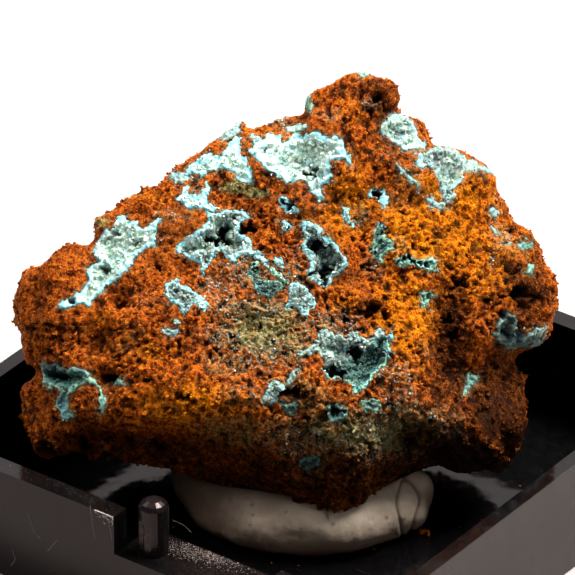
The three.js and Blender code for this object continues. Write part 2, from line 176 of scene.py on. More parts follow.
# ------------------------------------------------------------------ material helper
class Nodes:
    def __init__(self, name):
        self.material = bpy.data.materials.new(name)
        self.material.use_nodes = True
        self.tree = self.material.node_tree
        self.tree.nodes.clear()
        self.out = self.tree.nodes.new("ShaderNodeOutputMaterial")
        self.shader = self.tree.nodes.new("ShaderNodeBsdfPrincipled")
        self.tree.links.new(self.shader.outputs[0], self.out.inputs["Surface"])
        coord = self.tree.nodes.new("ShaderNodeTexCoord")
        self.mm = self.vector("SCALE", coord.outputs["Object"], scale=1000.0)

    def put(self, socket, value):
        if isinstance(value, bpy.types.NodeSocket):
            self.tree.links.new(value, socket)
        elif isinstance(value, (tuple, list)) and len(value) == 3 and socket.type == "RGBA":
            socket.default_value = (*value, 1)
        else:
            socket.default_value = value

    def set(self, **values):
        for key, value in values.items():
            self.put(self.shader.inputs[key.replace("_", " ")], value)

    def vector(self, op, a, b=None, scale=None):
        n = self.tree.nodes.new("ShaderNodeVectorMath")
        n.operation = op
        self.put(n.inputs[0], a)
        if b is not None:
            self.put(n.inputs[1], b)
        if scale is not None:
            self.put(n.inputs["Scale"], scale)
        return n.outputs[1] if op in ("LENGTH", "DISTANCE", "DOT_PRODUCT") else n.outputs[0]

    def math(self, op, a, b=0.0, clamp=False):
        n = self.tree.nodes.new("ShaderNodeMath")
        n.operation = op
        n.use_clamp = clamp
        self.put(n.inputs[0], a)
        self.put(n.inputs[1], b)
        return n.outputs[0]

    def noise(self, scale, detail=3.0, rough=0.55, distortion=0.0, at=None):
        n = self.tree.nodes.new("ShaderNodeTexNoise")
        self.put(n.inputs["Vector"], at or self.mm)
        n.inputs["Scale"].default_value = scale
        n.inputs["Detail"].default_value = detail
        n.inputs["Roughness"].default_value = rough
        n.inputs["Distortion"].default_value = distortion
        return n.outputs["Fac"]

    def voronoi(self, scale, feature="F1", out="Distance"):
        n = self.tree.nodes.new("ShaderNodeTexVoronoi")
        n.feature = feature
        self.put(n.inputs["Vector"], self.mm)
        n.inputs["Scale"].default_value = scale
        return n.outputs[out]

    def attr(self, name, out="Fac"):
        n = self.tree.nodes.new("ShaderNodeAttribute")
        n.attribute_name = name
        return n.outputs[out]

    def split(self, name):
        n = self.tree.nodes.new("ShaderNodeSeparateColor")
        self.put(n.inputs[0], self.attr(name, "Color"))
        return n.outputs[0], n.outputs[1], n.outputs[2]

    def ramp(self, fac, *stops):
        n = self.tree.nodes.new("ShaderNodeValToRGB")
        e = n.color_ramp.elements
        while len(e) < len(stops):
            e.new(0.5)
        for el, (at, colour) in zip(e, stops):
            el.position = at
            el.color = (*colour, 1) if isinstance(colour, tuple) else (colour, colour, colour, 1)
        self.put(n.inputs[0], fac)
        return n.outputs[0]

    def mix(self, fac, a, b, mode="MIX"):
        n = self.tree.nodes.new("ShaderNodeMix")
        n.data_type = "RGBA"
        n.blend_type = mode
        n.clamp_factor = True
        self.put(n.inputs["Factor"], fac)
        self.put(n.inputs[6], a)
        self.put(n.inputs[7], b)
        return n.outputs[2]

    def range(self, x, a, b, c=0.0, d=1.0):
        n = self.tree.nodes.new("ShaderNodeMapRange")
        n.clamp = True
        for s, value in zip(n.inputs, (x, a, b, c, d)):
            self.put(s, value)
        return n.outputs[0]

    def bump(self, height, strength, distance, normal=None):
        n = self.tree.nodes.new("ShaderNodeBump")
        n.inputs["Strength"].default_value = strength
        n.inputs["Distance"].default_value = distance
        self.put(n.inputs["Height"], height)
        if normal is not None:
            self.put(n.inputs["Normal"], normal)
        return n.outputs[0]


def srgb(r, g, b):
    return tuple(((c / 255 + 0.055) / 1.055) ** 2.4 if c > 10 else c / 255 / 12.92 for c in (r, g, b))


# ------------------------------------------------------------------ rock block
CENTRE = (290.0, 310.0, 1.0)
OUTLINE = np.array([
    (10, 303), (11, 311), (15, 322), (19, 333), (21, 346), (24, 359), (28, 372), (23, 383), (20, 393), (22, 405),
    (22, 419), (23, 431), (25, 441), (31, 450), (36, 457), (46, 465), (65, 469), (84, 469), (126, 469), (153, 473),
    (184, 483), (215, 487), (240, 489), (261, 492), (273, 495), (284, 500), (300, 506), (318, 511), (330, 512),
    (345, 507), (368, 495), (385, 487), (399, 480), (414, 473), (430, 470), (445, 468), (459, 468), (470, 473),
    (482, 477), (492, 477), (497, 470), (499, 455), (506, 441), (516, 432), (523, 424), (526, 412), (527, 397),
    (526, 380), (521, 369), (519, 361), (526, 354), (533, 350), (544, 343), (551, 337), (554, 331), (553, 323),
    (554, 316), (557, 309), (554, 299), (556, 291), (555, 281), (552, 273), (547, 266), (543, 256), (540, 247),
    (537, 237), (530, 232), (521, 228), (517, 221), (512, 217), (509, 206), (505, 196), (500, 188), (496, 177),
    (491, 169), (484, 163), (472, 154), (459, 148), (446, 145), (436, 144), (431, 140), (428, 128), (421, 121),
    (412, 117), (404, 112), (401, 104), (399, 96), (400, 91), (396, 84), (390, 76), (383, 73), (375, 72), (368, 69),
    (361, 70), (350, 69), (340, 76), (331, 82), (318, 87), (308, 92), (304, 102), (302, 110), (291, 114),
    (277, 116), (263, 122), (250, 127), (243, 122), (236, 125), (222, 135), (205, 148), (193, 157), (176, 167),
    (159, 184), (134, 198), (115, 209), (105, 211), (94, 215), (90, 224), (91, 236), (83, 240), (72, 241),
    (61, 246), (49, 259), (40, 264), (30, 265), (23, 269), (18, 280), (14, 293)], float)
FACES = [
    ((0.0, -0.712, 0.702), (-3, -2.5, 10.9)), ((-0.42, -0.62, 0.66), (-10.35, -1.35, 10.26)),
    ((0.50, -0.60, 0.62), (7.8, -3.1, 9.9)), ((0.0, -0.977, -0.214), (-2, -9.2, 4.3)),
    ((0.55, -0.80, -0.22), (10.3, -5.4, 3.1)), ((-0.35, -0.92, -0.15), (-12.9, -5.4, 3.1)),
    ((0.0, 0.0, -1.0), (0, 0, -5.0)), ((-0.22, 0.05, -0.97), (-12, 0, -2.2)), ((0.25, 0.05, -0.96), (11.5, 0, -2.6)),
    ((0.0, 0.99, -0.1), (0, 13.0, 3)), ((-0.5, 0.86, 0.0), (-10.7, 10.2, 0)), ((0.55, 0.83, 0.0), (11.5, 9.4, 0)),
    ((0.05, 0.66, 0.75), (0, 7.0, 17.2))]
LUMPS = [
    ((4.7, 2.9, 15.7), 0.26, 3.4), ((8.0, 1.0, 12.0), 0.22, 1.2), ((-8.0, 6.0, 9.0), 0.35, -0.8),
    ((2.0, 11.0, 4.0), 0.30, 1.0), ((9.0, 9.0, 1.0), 0.28, 0.8), ((-9.0, 8.0, -2.0), 0.30, 0.9),
    ((-3.0, 9.0, 9.0), 0.22, -1.0)]
RELIEF = [
    (445, 305, 24, -0.9), (449, 340, 26, -1.3), (455, 378, 24, -1.0), (490, 378, 30, -1.3), (520, 295, 38, 1.1),
    (508, 405, 20, 0.7), (340, 455, 52, 0.9), (70, 415, 34, 0.7), (130, 405, 36, 0.8), (190, 402, 34, 0.9),
    (240, 392, 30, 0.8), (110, 452, 30, -1.0), (170, 452, 30, -1.1), (230, 450, 32, -1.0), (95, 342, 14, -0.8),
    (112, 378, 13, -0.8), (55, 325, 32, 0.9), (60, 272, 26, 0.8), (258, 165, 13, 0.6), (300, 203, 12, 0.6),
    (325, 235, 11, 0.7), (345, 265, 12, 0.8), (356, 300, 15, 0.6), (255, 335, 42, -0.6), (420, 175, 24, 0.6),
    (470, 185, 26, 0.6), (410, 235, 34, 0.5), (345, 175, 16, 0.5), (195, 230, 16, 0.6), (140, 320, 34, 0.5),
    (420, 410, 30, 0.6), (400, 446, 24, -0.9), (300, 430, 26, -0.6)]
SHARP, STEPS = 9, 360
LOCAL = np.stack([RIGHT, UP, BACK])
SIDE = np.stack([RIGHT, NORTH, np.array([0, 0, 1.0])])
MIDDLE = place(np.array(CENTRE[0]), np.array(CENTRE[1]), np.array(CENTRE[2]))


def outline_radius(a):
    dx, dy = math.cos(a), -math.sin(a)
    p, q = OUTLINE, np.roll(OUTLINE, -1, 0)
    e, o = q - p, p - np.array(CENTRE[:2])
    den = dx * e[:, 1] - dy * e[:, 0]
    den = np.where(abs(den) < 1e-9, 1e-9, den)
    t = (o[:, 0] * e[:, 1] - o[:, 1] * e[:, 0]) / den
    s = (o[:, 0] * dy - o[:, 1] * dx) / den
    return t[(t > 0) & (s >= 0) & (s <= 1)].max()


TARGET = np.array([outline_radius(i / STEPS * 2 * math.pi - math.pi) for i in range(STEPS)])
NORMALS = np.array([(np.array(n) @ SIDE) / np.linalg.norm(n) for n, _ in FACES])
DEPTHS = np.array([(plan(*p) - MIDDLE) @ m for (_, p), m in zip(FACES, NORMALS)])
LUMP_DIRS = [((np.array(d) @ SIDE) / np.linalg.norm(d), w, h) for d, w, h in LUMPS]


def lookup(table, a):
    t = ((a + math.pi) / (2 * math.pi) * STEPS + STEPS) % STEPS
    i = np.floor(t).astype(int) % STEPS
    return table[i] + (table[(i + 1) % STEPS] - table[i]) * (t - np.floor(t))


def evened_of(table):
    k = np.arange(-14, 15)
    w = np.exp(-k * k / 70)
    return sum(wi * np.roll(table, -ki) for wi, ki in zip(w, k)) / w.sum() * 0.95


def rock_radius(local, tuned, evened):
    cb, sb, a = np.hypot(local[:, 0], local[:, 1]), local[:, 2], np.arctan2(local[:, 1], local[:, 0])
    d = local @ LOCAL
    c = d @ NORMALS.T
    block = (np.where(c > 0.02, np.maximum(c, 0.02) / DEPTHS, 0) ** SHARP).sum(1) ** (-1 / SHARP)
    for m, w, h in LUMP_DIRS:
        block = block + h * np.exp(-(np.arccos(np.clip(d @ m, -1, 1)) / w) ** 2)
    away = step(0, 1, (-sb - 0.12) / 0.4)
    s = lookup(tuned, a) * (1 - away) + lookup(evened, a) * away
    den = UNITS * cb + s * sb
    cone = np.where(den > 1e-6, s * (STATION - CENTRE[2]) / np.maximum(den, 1e-6), 1e6)
    return (block ** -SHARP + cone ** -SHARP) ** (-1 / SHARP), d


tuned = TARGET.copy()
evened = evened_of(tuned)
_a = np.repeat(np.arange(STEPS) / STEPS * 2 * math.pi - math.pi, 121)
_b = np.tile(np.radians(np.arange(-60, 61)), STEPS)
_l = np.stack([np.cos(_b) * np.cos(_a), np.cos(_b) * np.sin(_a), np.sin(_b)], 1)
for _ in range(4):
    _r = rock_radius(_l, tuned, evened)[0]
    reach = (UNITS * _r * np.cos(_b) / (STATION - CENTRE[2] - _r * np.sin(_b))).reshape(STEPS, 121).max(1)
    tuned = np.minimum(tuned * TARGET / reach, TARGET * 1.35)
    evened = evened_of(tuned)


def geodesic(n):
    g = (1 + 5 ** 0.5) / 2
    base = np.array([(-1, g, 0), (1, g, 0), (-1, -g, 0), (1, -g, 0), (0, -1, g), (0, 1, g), (0, -1, -g), (0, 1, -g), (g, 0, -1), (g, 0, 1), (-g, 0, -1), (-g, 0, 1)])
    base = base / np.linalg.norm(base[0]) @ TURN
    tris = [(0, 11, 5), (0, 5, 1), (0, 1, 7), (0, 7, 10), (0, 10, 11), (1, 5, 9), (5, 11, 4), (11, 10, 2), (10, 7, 6), (7, 1, 8),
            (3, 9, 4), (3, 4, 2), (3, 2, 6), (3, 6, 8), (3, 8, 9), (4, 9, 5), (2, 4, 11), (6, 2, 10), (8, 6, 7), (9, 8, 1)]
    keys, faces = {}, []
    for a, b, c in tris:
        at = {}
        for i in range(n + 1):
            for j in range(n + 1 - i):
                key = tuple(sorted((v, w) for v, w in ((a, i), (b, j), (c, n - i - j)) if w))
                at[i, j] = keys.setdefault(key, len(keys))
        for i in range(n):
            for j in range(n - i):
                faces.append((at[i, j], at[i + 1, j], at[i, j + 1]))
                if i + j < n - 1:
                    faces.append((at[i + 1, j], at[i + 1, j + 1], at[i, j + 1]))
    w = np.zeros((len(keys), 12))
    for row, key in enumerate(keys):
        for v, k in key:
            w[row, v] = k
    p = w @ base
    return p / np.linalg.norm(p, axis=1, keepdims=True), np.array(faces)


sphere, TRI = geodesic(99)
K = 0.68   # vertices gather towards the side that is seen most
_q = sphere[:, :2] / np.maximum(1 + sphere[:, 2:3], 1e-9) * K
_s = (_q ** 2).sum(1, keepdims=True)
sphere = np.concatenate([2 * _q / (1 + _s), (1 - _s) / (1 + _s)], 1)
_r, _d = rock_radius(sphere, tuned, evened)
P = MIDDLE + _d * _r[:, None]
if (np.einsum("ij,ij->i", normals_of(P, TRI), _d)).mean() < 0:
    TRI = TRI[:, ::-1].copy()
N = normals_of(P, TRI)
_f = N @ BACK
_x, _y = to_drawing(P)
_h = np.zeros(len(P))
for rx, ry, rad, amp in RELIEF:
    e = ((_x - rx) ** 2 + (_y - ry) ** 2) / (rad * rad)
    _h += np.where((_f > 0.05) & (e < 8), amp * np.exp(-e) * np.minimum(1, _f * 2), 0)
_h += (0.42 * noise(P / 3.1) + 0.26 * noise(P / 1.5 + np.array([7.0, 0, 0]))) * np.where(_f > 0.25, 0.9, np.where(_f < -0.2, 1.6, 0.35))
P = P + N * _h[:, None]
N = normals_of(P, TRI)

# ------------------------------------------------------------------ druse outlines on the drawing
T, W, G = 0, 1, 2       # turquoise rind, pale grey-white crystals, teal-green film
RINGS = {
    "top_center": [(T, [(251, 134), (256, 136), (264, 139), (270, 135), (278, 135), (281, 141), (286, 143), (290, 138), (296, 133), (301, 137), (308, 136), (317, 131), (322, 134), (328, 137), (336, 137), (341, 140), (344, 148), (349, 155), (351, 163), (353, 167), (347, 163), (343, 159), (337, 160), (331, 163), (328, 168), (331, 173), (333, 178), (328, 183), (323, 186), (322, 190), (326, 198), (323, 203), (318, 200), (313, 195), (308, 188), (304, 181), (298, 182), (290, 182), (283, 181), (277, 176), (271, 171), (264, 167), (260, 160), (254, 155), (248, 149), (252, 147), (256, 146), (253, 141)])],
    "top_left": [(T, [(186, 170), (190, 167), (197, 162), (203, 156), (207, 153), (213, 156), (222, 156), (226, 148), (229, 142), (236, 139), (240, 136), (242, 142), (240, 149), (242, 155), (247, 157), (249, 166), (250, 175), (251, 182), (247, 185), (241, 183), (238, 178), (232, 172), (226, 169), (219, 168), (213, 171), (207, 172), (201, 176), (194, 175), (188, 173)])],
    "upper_left": [(T, [(177, 196), (181, 191), (186, 187), (190, 190), (194, 195), (199, 195), (203, 189), (206, 184), (210, 185), (210, 191), (207, 198), (207, 203), (212, 204), (218, 207), (214, 210), (205, 208), (196, 207), (188, 207), (181, 204), (176, 201)])],
    "left": [(T, [(124, 213), (130, 221), (137, 222), (141, 227), (146, 229), (150, 224), (155, 219), (160, 220), (157, 227), (154, 231), (157, 240), (155, 247), (147, 247), (141, 252), (135, 258), (129, 268), (123, 275), (117, 281), (108, 284), (104, 292), (100, 296), (92, 299), (90, 306), (80, 306), (72, 306), (64, 310), (58, 309), (62, 304), (68, 298), (74, 295), (82, 291), (86, 285), (90, 279), (87, 272), (89, 266), (98, 262), (97, 256), (94, 250), (98, 240), (105, 234), (111, 228), (115, 222), (119, 216)])],
    "mid_left": [(T, [(207, 209), (215, 212), (225, 210), (237, 208), (246, 212), (250, 217), (243, 220), (239, 226), (241, 233), (248, 238), (252, 243), (254, 252), (256, 256), (252, 255), (244, 254), (237, 257), (232, 262), (228, 258), (224, 250), (216, 250), (213, 256), (211, 263), (207, 270), (202, 276), (201, 270), (203, 264), (198, 260), (190, 258), (183, 256), (176, 250), (178, 244), (184, 240), (189, 237), (197, 233), (204, 228), (208, 222), (208, 215)])],
    "squiggle": [(G, [(249, 262), (254, 263), (257, 270), (259, 277), (265, 281), (272, 283), (277, 282), (281, 284), (283, 288), (279, 292), (274, 297), (267, 299), (260, 298), (257, 292), (256, 286), (251, 281), (248, 275), (250, 268)]),
                 (T, [(276, 257), (282, 262), (285, 268), (279, 268), (275, 264)])],
    "mid_right": [(T, [(302, 222), (310, 221), (318, 226), (324, 234), (330, 241), (336, 248), (342, 254), (346, 262), (343, 270), (339, 276), (334, 280), (329, 285), (324, 287), (319, 286), (316, 281), (311, 277), (306, 272), (309, 266), (312, 261), (310, 255), (305, 250), (301, 246), (303, 240), (305, 233), (303, 228)]),
                  (T, [(283, 197), (288, 203), (294, 207), (300, 210), (298, 213), (291, 214), (286, 212), (281, 208), (277, 208), (280, 203)])],
    "right_top": [(W, [(381, 128), (386, 121), (392, 116), (399, 113), (406, 116), (412, 120), (414, 126), (418, 130), (420, 137), (426, 141), (427, 146), (420, 149), (413, 150), (406, 152), (400, 148), (394, 144), (388, 140), (381, 136)])],
    "right_upper": [(W, [(408, 152), (416, 153), (424, 152), (430, 150), (434, 147), (440, 147), (450, 149), (458, 151), (461, 156), (465, 161), (472, 161), (478, 165), (485, 166), (492, 168), (495, 174), (489, 173), (480, 170), (470, 170), (464, 171), (462, 177), (459, 184), (455, 190), (456, 197), (450, 200), (444, 200), (440, 196), (442, 190), (440, 182), (438, 174), (435, 168), (428, 166), (420, 166), (415, 164), (421, 160), (418, 155)]),
                    (W, [(426, 197), (432, 199), (440, 203), (446, 201), (444, 208), (436, 210), (430, 206)])],
    "center": [(T, [(288, 287), (294, 284), (300, 281), (305, 285), (308, 292), (313, 298), (315, 303), (311, 307), (307, 311), (305, 317), (301, 314), (299, 307), (293, 306), (287, 309), (285, 306), (289, 301), (290, 295)])],
    "patch_left": [(T, [(163, 288), (168, 282), (176, 280), (184, 286), (192, 290), (200, 294), (205, 300), (207, 307), (203, 313), (199, 311), (197, 303), (192, 305), (188, 312), (184, 316), (181, 309), (174, 303), (167, 298), (163, 293)])],
    "lower": [(W, [(318, 330), (325, 327), (330, 333), (336, 337), (342, 337), (348, 338), (352, 333), (358, 333), (362, 338), (370, 341), (374, 333), (378, 329), (386, 333), (392, 331), (391, 340), (388, 348), (393, 352), (389, 359), (384, 367), (378, 374), (370, 379), (364, 386), (359, 393), (354, 392), (352, 384), (344, 378), (336, 379), (327, 377), (324, 370), (325, 362), (322, 356), (316, 352), (308, 354), (300, 357), (295, 355), (299, 350), (307, 349), (314, 344), (320, 340)])],
    "low_left": [(G, [(36, 362), (42, 363), (48, 365), (57, 364), (63, 368), (70, 368), (78, 369), (87, 371), (93, 376), (98, 383), (101, 390), (105, 396), (106, 404), (105, 410), (101, 415), (99, 410), (99, 402), (99, 394), (97, 387), (92, 381), (86, 381), (79, 386), (74, 392), (70, 399), (69, 407), (74, 412), (76, 417), (70, 418), (64, 414), (60, 408), (57, 403), (59, 397), (62, 391), (55, 389), (47, 387), (41, 381), (37, 374), (38, 368)])],
    "right": [(W, [(497, 325), (503, 316), (510, 314), (517, 316), (518, 325), (517, 333), (524, 338), (530, 333), (538, 328), (546, 327), (546, 333), (541, 340), (536, 345), (530, 346), (524, 349), (515, 350), (506, 348), (498, 344), (495, 337), (498, 331)])],
    "small": [
        (T, [(250, 249), (257, 251), (263, 256), (270, 260), (268, 264), (260, 262), (253, 257)]),
        (G, [(266, 262), (273, 265), (280, 273), (288, 280), (285, 284), (277, 279), (270, 271)]),
        (G, [(397, 258), (402, 256), (410, 256), (418, 259), (427, 261), (435, 258), (438, 262), (437, 268), (438, 273), (431, 271), (423, 268), (414, 266), (406, 267), (398, 264)]),
        (G, [(421, 290), (426, 291), (434, 294), (431, 298), (428, 304), (425, 310), (422, 306), (422, 298)]),
        (G, [(374, 228), (378, 220), (382, 224), (383, 233), (387, 238), (392, 242), (395, 249), (388, 252), (384, 256), (383, 262), (378, 262), (374, 256), (370, 250), (372, 244), (376, 240), (373, 234)]),
        (T, [(365, 193), (368, 189), (376, 188), (384, 189), (386, 194), (386, 204), (384, 207), (381, 202), (377, 199), (370, 198)]),
        (T, [(341, 206), (346, 205), (349, 208), (349, 216), (351, 222), (356, 226), (352, 229), (348, 227), (344, 220), (341, 212)]),
        (W, [(266, 390), (272, 381), (281, 385), (285, 392), (275, 402), (262, 403)]),
        (G, [(283, 403), (290, 404), (298, 404), (298, 412), (290, 415), (283, 411)]),
        (G, [(465, 376), (470, 374), (479, 374), (476, 380), (473, 385), (469, 389), (466, 395), (465, 389), (468, 383)]),
        (W, [(492, 226), (497, 230), (500, 235), (495, 234)]),
        (W, [(504, 238), (510, 241), (513, 245), (507, 244)]),
        (G, [(518, 240), (524, 240), (530, 243), (535, 242), (533, 248), (526, 250), (519, 247)]),
        (G, [(300, 457), (308, 455), (320, 459), (319, 468), (309, 471), (301, 466)]),
        (G, [(357, 70), (364, 67), (371, 70), (369, 76), (361, 77)]),
        (G, [(303, 95), (309, 96), (310, 104), (309, 112), (303, 110), (302, 102)]),
        (W, [(285, 127), (292, 126), (300, 124), (308, 125), (306, 131), (296, 131), (287, 133)]),
        (T, [(280, 222), (290, 222), (291, 228), (281, 228)]),
        (W, [(174, 318), (180, 319), (180, 325), (174, 324)]),
        (W, [(160, 330), (168, 329), (175, 331), (174, 336), (163, 335)]),
        (W, [(285, 384), (289, 377), (296, 371), (301, 370), (296, 377), (289, 385)]),
        (G, [(526, 268), (530, 263), (535, 267), (532, 273), (527, 272)]),
        (W, [(488, 207), (494, 205), (498, 211), (495, 218), (489, 215)]),
        (W, [(396, 164), (402, 168.5), (410, 175.5), (416, 182), (422, 191), (419, 190.5), (413, 183.5), (404, 174.5), (397, 167)]),
        (G, [(326, 405), (334, 404), (345, 408), (346, 416), (338, 421), (328, 417)]),
        (G, [(362, 402), (372, 398), (381, 404), (376, 412), (364, 411)]),
        (W, [(170, 176), (180, 173), (190, 175), (187, 181), (174, 183)]),
        (W, [(228, 124), (236, 120), (243, 121), (238, 131), (228, 137), (221, 139)]),
        (G, [(113, 378), (121, 376), (120, 384), (113, 384)]),
    ],
}
# dark mouths: x, y, radius, depth in mm, how black the mouth is painted (painted shade inside the cavity)
HOLES = [
    (309, 173, 5, 0.9, 1), (269, 146, 3, 0.5, .8), (212, 241, 4, 1.0, 1), (218, 235, 6, 1.5, 1), (226, 231, 6, 1.6, 1), (230, 238, 5, 1.5, 1), (220, 243, 4, 1.0, 1),
    (245, 229, 5, 1.0, .8), (253, 229, 6, 1.2, .9), (253, 270, 3, .6, .8), (254, 280, 3, .6, .8), (264, 292, 3, .6, .8),
    (315, 246, 5, 1.2, 1), (323, 247, 5, 1.3, 1), (314, 271, 4, 1.3, 1), (321, 269, 5, 1.7, 1), (328, 266, 5, 1.7, 1), (335, 267, 4, 1.5, 1), (325, 277, 5, 1.5, 1), (321, 283, 3.5, 1.1, 1),
    (290, 206, 5.5, 1.2, 1), (285, 203, 3, .8, .9), (286, 225, 2.5, .5, .6), (334, 369, 6, 1.4, 1), (327, 368, 4, 1.0, .9), (342, 373, 5, 1.1, .9), (356, 352, 6, 1.3, .75), (362, 360, 4, 1.0, .7), (347, 324, 4, .9, .9),
    (283, 392, 5, 1.3, 1), (290, 391, 6, 1.6, 1), (298, 392, 6, 1.4, 1), (306, 398, 4, .8, .8), (335, 412, 6, 1.0, .9), (371, 447, 4, .9, .9), (412, 445, 6, 1.0, .8),
    (400, 261, 3, .8, .9), (407, 261, 4, 1.0, 1), (414, 262, 3.5, 1.0, 1), (422, 264, 3, .8, .9), (430, 265, 4, .8, .9), (426, 297, 4, .9, .9), (377, 194, 5, 1.0, .9), (382, 230, 3, .6, .7), (377, 252, 4, .7, .7),
    (456, 281, 5, 1.1, 1), (468, 283, 5, 1.0, 1), (476, 281, 3, .7, .9), (512, 266, 7, 1.4, 1), (506, 281, 5, 1.1, 1), (520, 293, 8, 1.4, 1), (545, 286, 5, 1.0, 1), (517, 228, 5, 1.0, .9), (494, 252, 4, .9, .9), (499, 262, 3, .7, .8), (526, 305, 5, 1.0, 1), (536, 299, 4, .8, .9), (502, 297, 5, .9, .9), (488, 300, 4, .8, .9), (537, 262, 3, .7, .8), (545, 318, 4, .7, .8), (507, 240, 3, .6, .7),
    (362, 310, 6, .9, .7), (373, 309, 7, 1.0, .7), (384, 312, 5, .8, .7), (365, 268, 4, .8, .9), (402, 330, 4, .8, .9), (120, 303, 4, .8, .8), (115, 233, 4, .6, .6), (135, 243, 4, .6, .5), (104, 268, 4, .6, .6),
    (178, 398, 4, .7, .9), (186, 398, 4, .8, .9), (380, 95, 8, 1.0, .7), (370, 110, 7, .9, .6), (390, 110, 6, .9, .7), (362, 92, 5, .7, .6),
    (45, 371, 5, .8, .8), (53, 374, 6, 1.0, .85), (60, 375, 4, .8, .8), (503, 316, 4, .9, .95), (511, 341, 5, .9, .9), (524, 327, 6, 1.0, .9), (504, 333, 4, .8, .9), (518, 336, 4, .7, .9), (397, 128, 4, .5, .4), (446, 160, 4, .5, .4), (104, 338, 3, .6, .7), (103, 343, 3, .6, .7), (80, 345, 4, .6, .7), (113, 377, 5, .8, .9), (49, 328, 4, .8, .8), (72, 272, 4, .7, .8), (120, 289, 3, .6, .8), (157, 266, 4, .7, .8), (131, 372, 3, .6, .8), (150, 352, 3, .6, .7), (60, 352, 4, .6, .7),
    (70, 300, 3.5, .7, .9), (38, 300, 4, .8, .9), (30, 330, 4, .8, .8), (48, 350, 4, .8, .9), (80, 325, 4, .8, .9), (34, 400, 4, .8, .8), (84, 440, 5, .9, .9), (50, 440, 5, .8, .8), (130, 440, 5, .8, .8), (451, 338, 5, .9, .9), (447, 318, 4, .8, .9), (480, 330, 4, .7, .8), (420, 350, 4, .7, .8), (330, 110, 4, .6, .6), (345, 120, 4, .5, .5)]


DENTS = [(31, 374, 9, -0.8), (86, 237, 9, -0.35), (40, 262, 10, -0.15), (404, 108, 8, -0.3), (500, 190, 8, -0.2), (519, 361, 10, -0.3), (300, 112, 9, -0.3), (243, 122, 6, 0.15), (150, 190, 14, -0.15), (60, 336, 9, -0.3), (118, 300, 7, -0.3), (437, 135, 6, -0.4), (431, 126, 5, -0.25), (330, 505, 20, 0.75), (300, 496, 12, 0.3), (360, 494, 14, 0.35), (50, 442, 24, 1.5), (92, 454, 20, 0.8), (130, 462, 16, 0.3), (490, 448, 25, 2.5), (512, 424, 14, 0.6), (458, 460, 14, 0.6)]
BLOOM = [(502, 236, 13, 11, .9), (493, 258, 4, 14, .6), (500, 198, 6, 8, .5), (440, 205, 14, 8, .7), (408, 178, 14, 10, .6), (265, 352, 60, 24, .6), (225, 335, 34, 16, .6), (400, 400, 24, 24, .6), (425, 350, 14, 14, .3), (190, 190, 16, 8, .7), (280, 120, 18, 7, .8), (370, 104, 10, 8, .6), (245, 270, 30, 22, .85), (290, 270, 16, 22, .7), (320, 205, 8, 14, .35), (230, 305, 34, 16, .7), (215, 285, 20, 14, .7), (330, 325, 34, 18, .8), (270, 310, 40, 20, .55), (290, 350, 40, 20, .45), (395, 372, 24, 18, .6), (245, 395, 34, 18, .4), (150, 240, 18, 12, .5), (360, 215, 12, 14, .55), (375, 265, 14, 12, .6), (130, 345, 20, 18, .25), (170, 215, 22, 8, .5), (400, 200, 20, 14, .35), (345, 150, 12, 12, .4), (330, 115, 16, 8, .55), (300, 195, 10, 6, .4), (440, 420, 30, 20, .35), (380, 420, 40, 24, .45), (300, 440, 50, 26, .5), (370, 440, 60, 26, .5), (500, 330, 22, 20, .3), (520, 245, 20, 14, .35), (150, 300, 30, 20, .25), (190, 175, 14, 10, .5), (385, 155, 20, 12, .35)]


def distance(x, y, ring):
    """Signed distance in drawing units, negative inside."""
    p = np.array(ring, float)
    q = np.roll(p, -1, 0)
    best = np.full(len(x), 1e9)
    inside = np.zeros(len(x), bool)
    for (x0, y0), (x1, y1) in zip(p, q):
        ex, ey = x1 - x0, y1 - y0
        t = np.clip(((x - x0) * ex + (y - y0) * ey) / (ex * ex + ey * ey + 1e-12), 0, 1)
        best = np.minimum(best, np.hypot(x - x0 - t * ex, y - y0 - t * ey))
        if y0 != y1:
            cross = ((y0 > y) != (y1 > y)) & (x < (x1 - x0) * (y - y0) / (y1 - y0) + x0)
            inside ^= cross
    return np.where(inside, -best, best)


HOLLOW = {"top_center": 0.18, "top_left": 0.10, "upper_left": 0.10, "left": 0.22, "mid_left": 0.50, "mid_right": 0.95, "lower": 0.70, "low_left": 0.70, "right_top": 0.18, "right_upper": 0.34, "right": 0.45}
HOLLOW_OF = np.array([HOLLOW.get(name, 0.35) for name in RINGS] + [0.35, 0.35])   # the last two stand for no druse and the far sides
